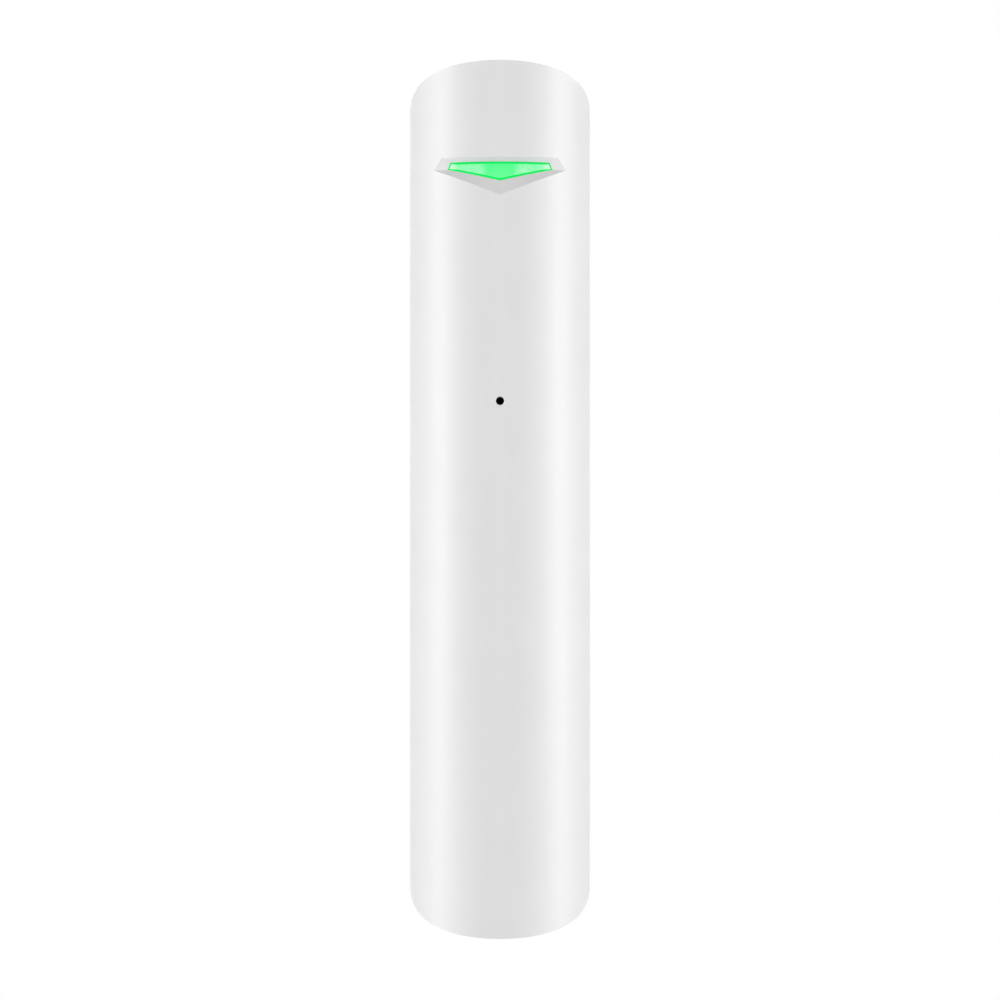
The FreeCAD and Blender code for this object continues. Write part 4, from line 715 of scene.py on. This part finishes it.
class SENSOR_OT_components(bpy.types.Operator):
    """Dresses what is soldered or screwed to the circuit board"""

    bl_idname = "sensor.components"
    bl_label = "Components"

    def execute(self, context):
        self.screws()
        self.shield()
        self.controller()
        self.amplifier()
        self.crystal()
        self.chip_capacitors()
        self.storage_capacitor()
        strip = Layers("antenna_bronze", (0.76, 0.70, 0.58), 0.3, METAL)
        strip.brush(size=0.07 * MM, stretch=(1.0, 1.0, 0.06), depth=0.003 * MM)
        strip.dress("antenna")
        self.solder()
        return {"FINISHED"}

    def screws(self):
        """Zinc plated screws, with turning marks on the heads and a thread on the shanks."""
        head_height, turning_pitch, thread_pitch = 0.95 * MM, 0.14 * MM, 0.45 * MM
        layers = Layers("screw_zinc", (0.70, 0.71, 0.73), 0.28, METAL)
        turning = layers.from_screws().wave(turning_pitch)
        thread = layers.y.wave(thread_pitch)
        shank = layers.y.above(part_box("board_screws")[0].y + head_height)
        layers.mottle(size=0.25 * MM, depth=0.002 * MM, wear=0.2)
        layers.emboss(turning.as_height(), depth=0.004 * MM)
        layers.emboss(thread.as_height() * shank, depth=0.12 * MM)
        # The thread's roots on the shank are painted darker: painted shade in its grooves.
        layers.lay(shank * thread.below(-0.4), (0.40, 0.41, 0.43), 0.4, METAL)
        layers.dress("board_screws")

    def shield(self):
        """Tinned steel lid clipped over its frame, its edges rolled over the sides."""
        groove_start, groove_end, soft = 0.45 * MM, 0.56 * MM, 0.04 * MM
        skirt_top, skirt_bottom = 0.75 * MM, 0.62 * MM
        low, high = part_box("radio_shield")
        layers = Layers("shield_tin", (0.74, 0.74, 0.72), 0.34, METAL)
        layers.brush(size=0.09 * MM, stretch=(1.0, 1.0, 0.07), depth=0.003 * MM)
        smudge = layers.noise(2.2 * MM).above(0.56, 0.3)
        layers.lay(smudge * 0.35, (0.60, 0.60, 0.57), 0.5, METAL)
        inside = -1.0 * layers.gap_to("radio_shield")
        top = layers.y.below(low.y + FACE_DEPTH)
        layers.emboss(1.0 - top * inside.between(groove_start, groove_end, soft), depth=0.05 * MM)
        skirt = layers.y.between(high.y - skirt_top, high.y - skirt_bottom, soft)
        layers.emboss(1.0 - skirt, depth=0.06 * MM)
        layers.dress("radio_shield")

    def controller(self):
        """A black moulded chip with its first pin marked and its pads tinned below."""
        mark_inset, mark_radius, mark_soft = 0.75 * MM, 0.3 * MM, 0.05 * MM
        pad_pitch, pad_half, pad_height = 0.5 * MM, 0.12 * MM, 0.22 * MM
        rows_across, rows_up = 1.8 * MM, 2.2 * MM
        low, high, middle = corners("microcontroller")
        chip = Layers("chip_epoxy", EPOXY, 0.5)
        chip.mottle(size=0.07 * MM, depth=0.003 * MM, wear=0.3)
        from_mark = chip.away_from(low.x + mark_inset, high.z - mark_inset)
        mark = from_mark.below(mark_radius, mark_soft)
        chip.lay(mark, (0.05, 0.05, 0.052), 0.25)
        chip.emboss(1.0 - mark, depth=0.04 * MM)
        pad = chip.x.fold(pad_pitch).least(chip.z.fold(pad_pitch)).below(pad_half)
        rows = (abs(chip.x - middle.x).below(rows_across)
                * abs(chip.z - middle.z).below(rows_up))
        chip.lay(pad * rows * chip.y.above(high.y - pad_height), TIN, 0.3, METAL)
        chip.dress("microcontroller")

    def amplifier(self):
        """A black moulded chip with a notch at one end, a parting line and tinned pins."""
        body_half, notch_radius, notch_soft = 1.305 * MM, 0.45 * MM, 0.05 * MM
        top_depth, seam_half, seam_soft = 0.1 * MM, 0.03 * MM, 0.02 * MM
        low, high, middle = corners("amplifier_chip")
        chip = Layers("amplifier_epoxy", EPOXY, 0.5)
        chip.mottle(size=0.07 * MM, depth=0.003 * MM, wear=0.3)
        notch = (chip.away_from(middle.x, high.z).below(notch_radius, notch_soft)
                 * chip.y.below(low.y + top_depth))
        chip.lay(notch, (0.045, 0.045, 0.047), 0.3)
        chip.emboss(1.0 - notch, depth=0.05 * MM)
        chip.emboss(abs(chip.y - middle.y).below(seam_half, seam_soft), depth=0.02 * MM)
        chip.lay(abs(chip.x - middle.x).above(body_half), TIN, 0.28, METAL)
        chip.dress("amplifier_chip")

    def crystal(self):
        """A metal lid seam welded to a dark ceramic base."""
        rim_width, rim_soft, base_height = 0.16 * MM, 0.04 * MM, 0.45 * MM
        low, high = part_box("crystal")
        layers = Layers("crystal_lid", (0.80, 0.79, 0.76), 0.25, METAL)
        layers.brush(size=0.05 * MM, stretch=(0.07, 1.0, 1.0), depth=0.002 * MM)
        inside = -1.0 * layers.gap_to("crystal")
        rim = layers.y.below(low.y + FACE_DEPTH) * inside.below(rim_width, rim_soft)
        layers.lay(rim, (0.86, 0.66, 0.34), 0.3, METAL)
        layers.emboss(1.0 - rim, depth=0.03 * MM)
        layers.lay(layers.y.above(high.y - base_height), (0.11, 0.10, 0.095), 0.55)
        layers.dress("crystal")

    def chip_capacitors(self):
        """Ceramic blocks with tinned ends, in two columns."""
        half_length, end_length, highlight_soft = 0.6 * MM, 0.25 * MM, 0.03 * MM
        _, high, middle = corners("chip_capacitors")
        chips = Layers("capacitor_ceramic", (0.40, 0.27, 0.16), 0.42)
        chips.mottle(size=0.09 * MM, depth=0.003 * MM, wear=0.2)
        column = high.x - middle.x - half_length
        along = abs(abs(chips.x - middle.x) - column)
        chips.lay(along.above(half_length - end_length), TIN, 0.32, METAL)
        chips.emboss(along.above(half_length - end_length, highlight_soft), depth=0.02 * MM)
        chips.dress("chip_capacitors")

    def storage_capacitor(self):
        """An aluminium can on a black base, its top scored to vent and marked at one side."""
        vent_half, vent_soft, vent_reach = 0.09 * MM, 0.05 * MM, 2.0 * MM
        mark_start, mark_radius = 1.25 * MM, 2.35 * MM
        neck_top, neck_bottom, neck_soft = 1.35 * MM, 0.95 * MM, 0.2 * MM
        base_height = 0.51 * MM
        low, high, middle = corners("storage_capacitor")
        can = Layers("capacitor_can", ALUMINIUM, 0.24, METAL)
        can.brush(size=0.08 * MM, stretch=(1.0, 0.05, 1.0), depth=0.003 * MM)
        across, up = can.x - middle.x, can.z - middle.z
        top = can.y.below(low.y + FACE_DEPTH)
        out = hypotenuse(across, up)
        vent = abs(across).least(abs(up)).below(vent_half, vent_soft) * out.below(vent_reach)
        can.emboss(1.0 - top * vent, depth=0.08 * MM)
        mark = across.below(-mark_start) * out.below(mark_radius)
        can.lay(top * mark, (0.012, 0.012, 0.013), 0.45)
        neck = can.y.between(high.y - neck_top, high.y - neck_bottom, neck_soft)
        can.emboss(1.0 - neck, depth=0.15 * MM)
        can.lay(can.y.above(high.y - base_height), (0.02, 0.02, 0.02), 0.5)
        can.dress("storage_capacitor")

    def solder(self):
        """Solder drawn up round the tails of the microphone's leads, behind the board."""
        board_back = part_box("circuit_board")[1].y
        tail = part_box("microphone_leads")[1].y - board_back
        foot_radius, shoulder_radius, shoulder_height = 0.72 * MM, 0.70 * MM, 0.03 * MM
        climb, hug, hollow = 0.8 * tail, 0.98 * LEAD_RADIUS, 2.4
        rises, sides = 8, 28
        profile = [(foot_radius, 0.0)]
        for step in range(rises + 1):
            share = step / rises
            flare = (shoulder_radius - LEAD_RADIUS) * (1.0 - share) ** hollow
            profile.append((hug + flare, shoulder_height + climb * share))
        across, level = lead_places()
        shape = turned_mesh("lead_solder", profile, sides,
                            [Vector((side * across, board_back, level)) for side in (-1.0, 1.0)])
        piece = bpy.data.objects.new("lead_solder", shape)
        bpy.context.scene.collection.objects.link(piece)
        layers = Layers("solder", (0.72, 0.72, 0.71), 0.22, METAL)
        layers.mottle(size=0.18 * MM, depth=0.006 * MM, wear=0.15)
        shape.materials.append(layers.finished())
        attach(piece, "sensor")


def turned_mesh(name, profile, sides, centres):
    """A mesh turned about the depth axis at each centre, from radii and depths."""
    made = bmesh.new()
    for centre in centres:
        rings = []
        for radius, depth in profile:
            ring = []
            for side in range(sides):
                angle = 2.0 * math.pi * side / sides
                spot = Vector((radius * math.cos(angle), depth, radius * math.sin(angle)))
                ring.append(made.verts.new(centre + spot))
            rings.append(ring)
        for low, high in zip(rings, rings[1:]):
            for side in range(sides):
                after = (side + 1) % sides
                face = made.faces.new((low[side], high[side], high[after], low[after]))
                face.smooth = True
        made.faces.new(rings[-1][::-1])
        made.faces.new(rings[0])
    bmesh.ops.recalc_face_normals(made, faces=made.faces)
    mesh = bpy.data.meshes.new(name)
    made.to_mesh(mesh)
    made.free()
    return mesh


class SENSOR_OT_cell(bpy.types.Operator):
    """Dresses the lithium cell, its contacts and holders"""

    bl_idname = "sensor.cell"
    bl_label = "Cell"

    def execute(self, context):
        self.cell(context.scene.sensor_finish)
        nickel = Layers("contact_nickel", (0.74, 0.72, 0.67), 0.25, METAL)
        nickel.brush(size=0.08 * MM, stretch=(0.06, 1.0, 1.0), depth=0.003 * MM)
        rubbed = nickel.noise(1.5 * MM).above(0.55, 0.3)
        nickel.lay(rubbed * 0.4, (0.63, 0.61, 0.56), 0.4, METAL)
        nickel.dress("contact_positive", "contact_negative")
        nylon = Layers("holder_nylon", (0.030, 0.030, 0.032), 0.5)
        nylon.mottle(size=0.14 * MM, depth=0.006 * MM, wear=0.25)
        flow = nylon.noise(2.5 * MM, detail=2.0, stretch=(1.0, 0.3, 1.0)).above(0.5, 0.5)
        nylon.lay(flow * 0.3, (0.045, 0.045, 0.047), 0.42)
        nylon.dress("holder_upper", "holder_lower")
        return {"FINISHED"}

    def cell(self, finish):
        """A steel can in a shrunk sleeve that leaves its two ends bare."""
        band_top, band_bottom, bare_radius = 4.6 * MM, 8.5 * MM, 6.9 * MM
        plus_drop, arm, reach, ring_pitch = 6.55 * MM, 0.22 * MM, 1.0 * MM, 0.35 * MM
        _, high, middle = corners("battery")
        layers = Layers("cell_sleeve", finish.sleeve_colour, 0.26)
        depth = layers.y - middle.y
        band = layers.z.between(high.z - band_bottom, high.z - band_top)
        layers.lay(band, (0.62, 0.63, 0.64), 0.3)
        creases = layers.noise(0.9 * MM, detail=2.0, stretch=(1.0, 1.0, 0.15))
        layers.emboss(creases, depth=0.01 * MM)
        layers.mottle(size=0.5 * MM, depth=0.002 * MM, wear=0.08)
        across, up = abs(layers.x), abs(layers.z - (high.z - plus_drop))
        plus = (across.below(arm) * up.below(reach)).most(across.below(reach) * up.below(arm))
        layers.lay(plus * depth.below(0.0), (0.03, 0.03, 0.035), 0.35)
        out = hypotenuse(layers.x, depth)
        bare = out.below(bare_radius)
        layers.lay(bare, STEEL, 0.24, METAL)
        layers.emboss(out.wave(ring_pitch).as_height() * bare, depth=0.004 * MM)
        layers.dress("battery")


class SENSOR_OT_switches(bpy.types.Operator):
    """Dresses the tamper switch and the enrolment button"""

    bl_idname = "sensor.switches"
    bl_label = "Switches"

    def execute(self, context):
        self.tamper()
        self.push_button()
        self.key()
        return {"FINISHED"}

    def tamper(self):
        """A black housing in two halves, a pale plunger and its steel spring."""
        housing = Layers("switch_plastic", BLACK_PLASTIC, 0.48)
        housing.mottle(size=0.12 * MM, depth=0.005 * MM, wear=0.25)
        seam = abs(housing.y - corners("tamper_housing")[2].y)
        housing.emboss(seam.below(0.05 * MM, 0.03 * MM), depth=0.03 * MM)
        housing.dress("tamper_housing")
        plunger = Layers("plunger_acetal", (0.56, 0.55, 0.51), 0.36)
        plunger.mottle(size=0.2 * MM, depth=0.003 * MM, wear=0.08)
        plunger.emboss(abs(plunger.x).below(0.04 * MM, 0.03 * MM), depth=0.015 * MM)
        plunger.dress("tamper_plunger")
        spring = Layers("spring_steel", STEEL, 0.26, METAL)
        spring.brush(size=0.03 * MM, stretch=(0.3, 1.0, 0.3), depth=0.002 * MM)
        spring.dress("tamper_spring")

    def push_button(self):
        """A black base under a steel plate that four rivets hold."""
        plate_depth, plate_inset = 0.15 * MM, 0.2 * MM
        rivet_inset, rivet_radius, rivet_soft = 0.75 * MM, 0.32 * MM, 0.04 * MM
        _, high, middle = corners("enrol_switch")
        half = high - middle
        layers = Layers("button_base", BLACK_PLASTIC, 0.5)
        layers.mottle(size=0.12 * MM, depth=0.004 * MM, wear=0.2)
        plate = (layers.y.above(high.y - plate_depth)
                 * layers.gap_to("enrol_switch").below(-plate_inset))
        from_rivet = hypotenuse(abs(layers.x - middle.x) - (half.x - rivet_inset),
                                abs(layers.z - middle.z) - (half.z - rivet_inset))
        rivet = plate * from_rivet.below(rivet_radius, rivet_soft)
        layers.lay(plate, STEEL, 0.3, METAL)
        layers.lay(rivet, (0.03, 0.03, 0.032), 0.4)
        layers.emboss(plate, depth=0.03 * MM)
        layers.emboss(rivet, depth=0.05 * MM)
        layers.dress("enrol_switch")

    def key(self):
        """Grey plastic, hollowed towards its middle for the fingertip."""
        hollow_radius, hollow_soft = 1.2 * MM, 0.5 * MM
        layers = Layers("key_plastic", (0.34, 0.35, 0.36), 0.5)
        layers.mottle(size=0.12 * MM, depth=0.005 * MM, wear=0.12)
        out = layers.away_from(0.0, corners("enrol_key")[2].z)
        layers.emboss(out.above(hollow_radius, hollow_soft), depth=0.12 * MM)
        layers.dress("enrol_key")


# Stage

def softbox(name, azimuth, elevation, distance, width, height, power):
    """An area lamp that looks at the sensor's middle from a bearing about it."""
    data = bpy.data.lights.new(name, "AREA")
    data.shape = "RECTANGLE"
    data.size = width
    data.size_y = height
    data.energy = power
    lamp = bpy.data.objects.new(name, data)
    bearing, rise = math.radians(azimuth), math.radians(elevation)
    away = Vector((math.sin(bearing) * math.cos(rise), -math.cos(bearing) * math.cos(rise),
                   math.sin(rise)))
    lamp.location = Vector((0.0, AXIS_Y, 0.0)) + distance * away
    lamp.rotation_euler = (-away).to_track_quat("-Z", "Y").to_euler()
    bpy.context.scene.collection.objects.link(lamp)


class SENSOR_OT_stage(bpy.types.Operator):
    """Sets up the floor, the background, the lamps and the camera"""

    bl_idname = "sensor.stage"
    bl_label = "Stage"

    def execute(self, context):
        stage = context.scene.sensor_stage
        self.floor(stage)
        self.world(context, stage)
        for name, azimuth in (("side_lamp_left", -80.0), ("side_lamp_right", 80.0)):
            softbox(name, azimuth, elevation=0.0, distance=0.6, width=0.12, height=0.36,
                    power=stage.side_light)
        softbox("front_lamp", azimuth=0.0, elevation=0.0, distance=1.6, width=1.0, height=1.6,
                power=stage.front_light)
        softbox("back_lamp", azimuth=180.0, elevation=35.0, distance=0.7, width=0.6, height=0.5,
                power=stage.back_light)
        self.camera(context, stage)
        return {"FINISHED"}

    def floor(self, stage):
        """Pale paper that keeps the sensor's shadow and turns to the background's white."""
        reach, near_white, fade_middle, fade_width = 4.0, 0.55, 0.35, 0.3
        mesh = bpy.data.meshes.new("floor")
        mesh.from_pydata([(-reach, -reach, 0.0), (reach, -reach, 0.0), (reach, reach, 0.0),
                          (-reach, reach, 0.0)], [], [(0, 1, 2, 3)])
        floor = bpy.data.objects.new("floor", mesh)
        floor.location = (0.0, 0.0, -stage.floor_drop)
        bpy.context.scene.collection.objects.link(floor)
        material, shader = finish_material("floor_paper")
        x, y, _ = shader.axes(shader.place())
        far = hypotenuse(x, y).above(fade_middle, fade_width)
        fade = (near_white + far * (1.0 - near_white)) * shader.seen_directly()
        paper = shader.node("ShaderNodeBsdfDiffuse", None, {"Color": (0.82, 0.82, 0.82, 1.0)})
        white = shader.node("ShaderNodeEmission", None, {"Strength": 1.0})
        shader.output(shader.node("ShaderNodeMixShader", None, {0: fade, 1: paper, 2: white}))
        mesh.materials.append(material)

    def world(self, context, stage):
        """An even light from all round, and plain white where it is seen directly."""
        world = bpy.data.worlds.new("studio")
        world.use_nodes = True
        context.scene.world = world
        shader = Shader(world.node_tree)
        even, white = [
            shader.node("ShaderNodeBackground", None, {"Color": WHITE, "Strength": strength})
            for strength in (stage.world_light, 1.0)]
        mixed = shader.node("ShaderNodeMixShader", None,
                            {0: shader.seen_directly(), 1: even, 2: white})
        shader.output(mixed, "ShaderNodeOutputWorld")

    def camera(self, context, stage):
        """The photograph's view, level and square to the front."""
        data = bpy.data.cameras.new("camera")
        data.sensor_width = 36.0
        data.lens = stage.lens
        data.clip_start = 0.01
        camera = bpy.data.objects.new("camera", data)
        camera.location = (0.0, AXIS_Y - stage.camera_distance, stage.camera_height)
        camera.rotation_euler = (math.radians(90.0), 0.0, 0.0)
        context.scene.collection.objects.link(camera)
        context.scene.camera = camera
        context.scene.view_settings.view_transform = "Standard"


# Add-on

class SENSOR_PT_panel(bpy.types.Panel):
    """Lists the sensor's sizes, colours and making steps"""

    bl_idname = "SENSOR_PT_panel"
    bl_label = "Glass Break Sensor"
    bl_space_type = "VIEW_3D"
    bl_region_type = "UI"
    bl_category = "Sensor"

    def draw(self, context):
        column = self.layout.column()
        for group in (context.scene.sensor_finish, context.scene.sensor_stage):
            for name in group.__annotations__:
                column.prop(group, name)
            column.separator()
        for operator in OPERATORS:
            column.operator(operator.bl_idname)


OPERATORS = (
    SENSOR_OT_front_cover, SENSOR_OT_rear_cover, SENSOR_OT_wall_bracket,
    SENSOR_OT_light_guide, SENSOR_OT_indicator_lamp, SENSOR_OT_microphone,
    SENSOR_OT_circuit_board, SENSOR_OT_components, SENSOR_OT_cell, SENSOR_OT_switches,
    SENSOR_OT_stage,
)
CLASSES = (SensorFinish, SensorStage) + OPERATORS + (SENSOR_PT_panel,)


def register():
    for item in CLASSES:
        bpy.utils.register_class(item)
    bpy.types.Scene.sensor_finish = PointerProperty(type=SensorFinish)
    bpy.types.Scene.sensor_stage = PointerProperty(type=SensorStage)


def unregister():
    del bpy.types.Scene.sensor_stage
    del bpy.types.Scene.sensor_finish
    for item in reversed(CLASSES):
        bpy.utils.unregister_class(item)


def main():
    register()
    bpy.ops.sensor.front_cover()
    bpy.ops.sensor.rear_cover()
    bpy.ops.sensor.wall_bracket()
    bpy.ops.sensor.light_guide()
    bpy.ops.sensor.indicator_lamp()
    bpy.ops.sensor.microphone()
    bpy.ops.sensor.circuit_board()
    bpy.ops.sensor.components()
    bpy.ops.sensor.cell()
    bpy.ops.sensor.switches()
    bpy.ops.sensor.stage()


if __name__ == "__main__":
    main()
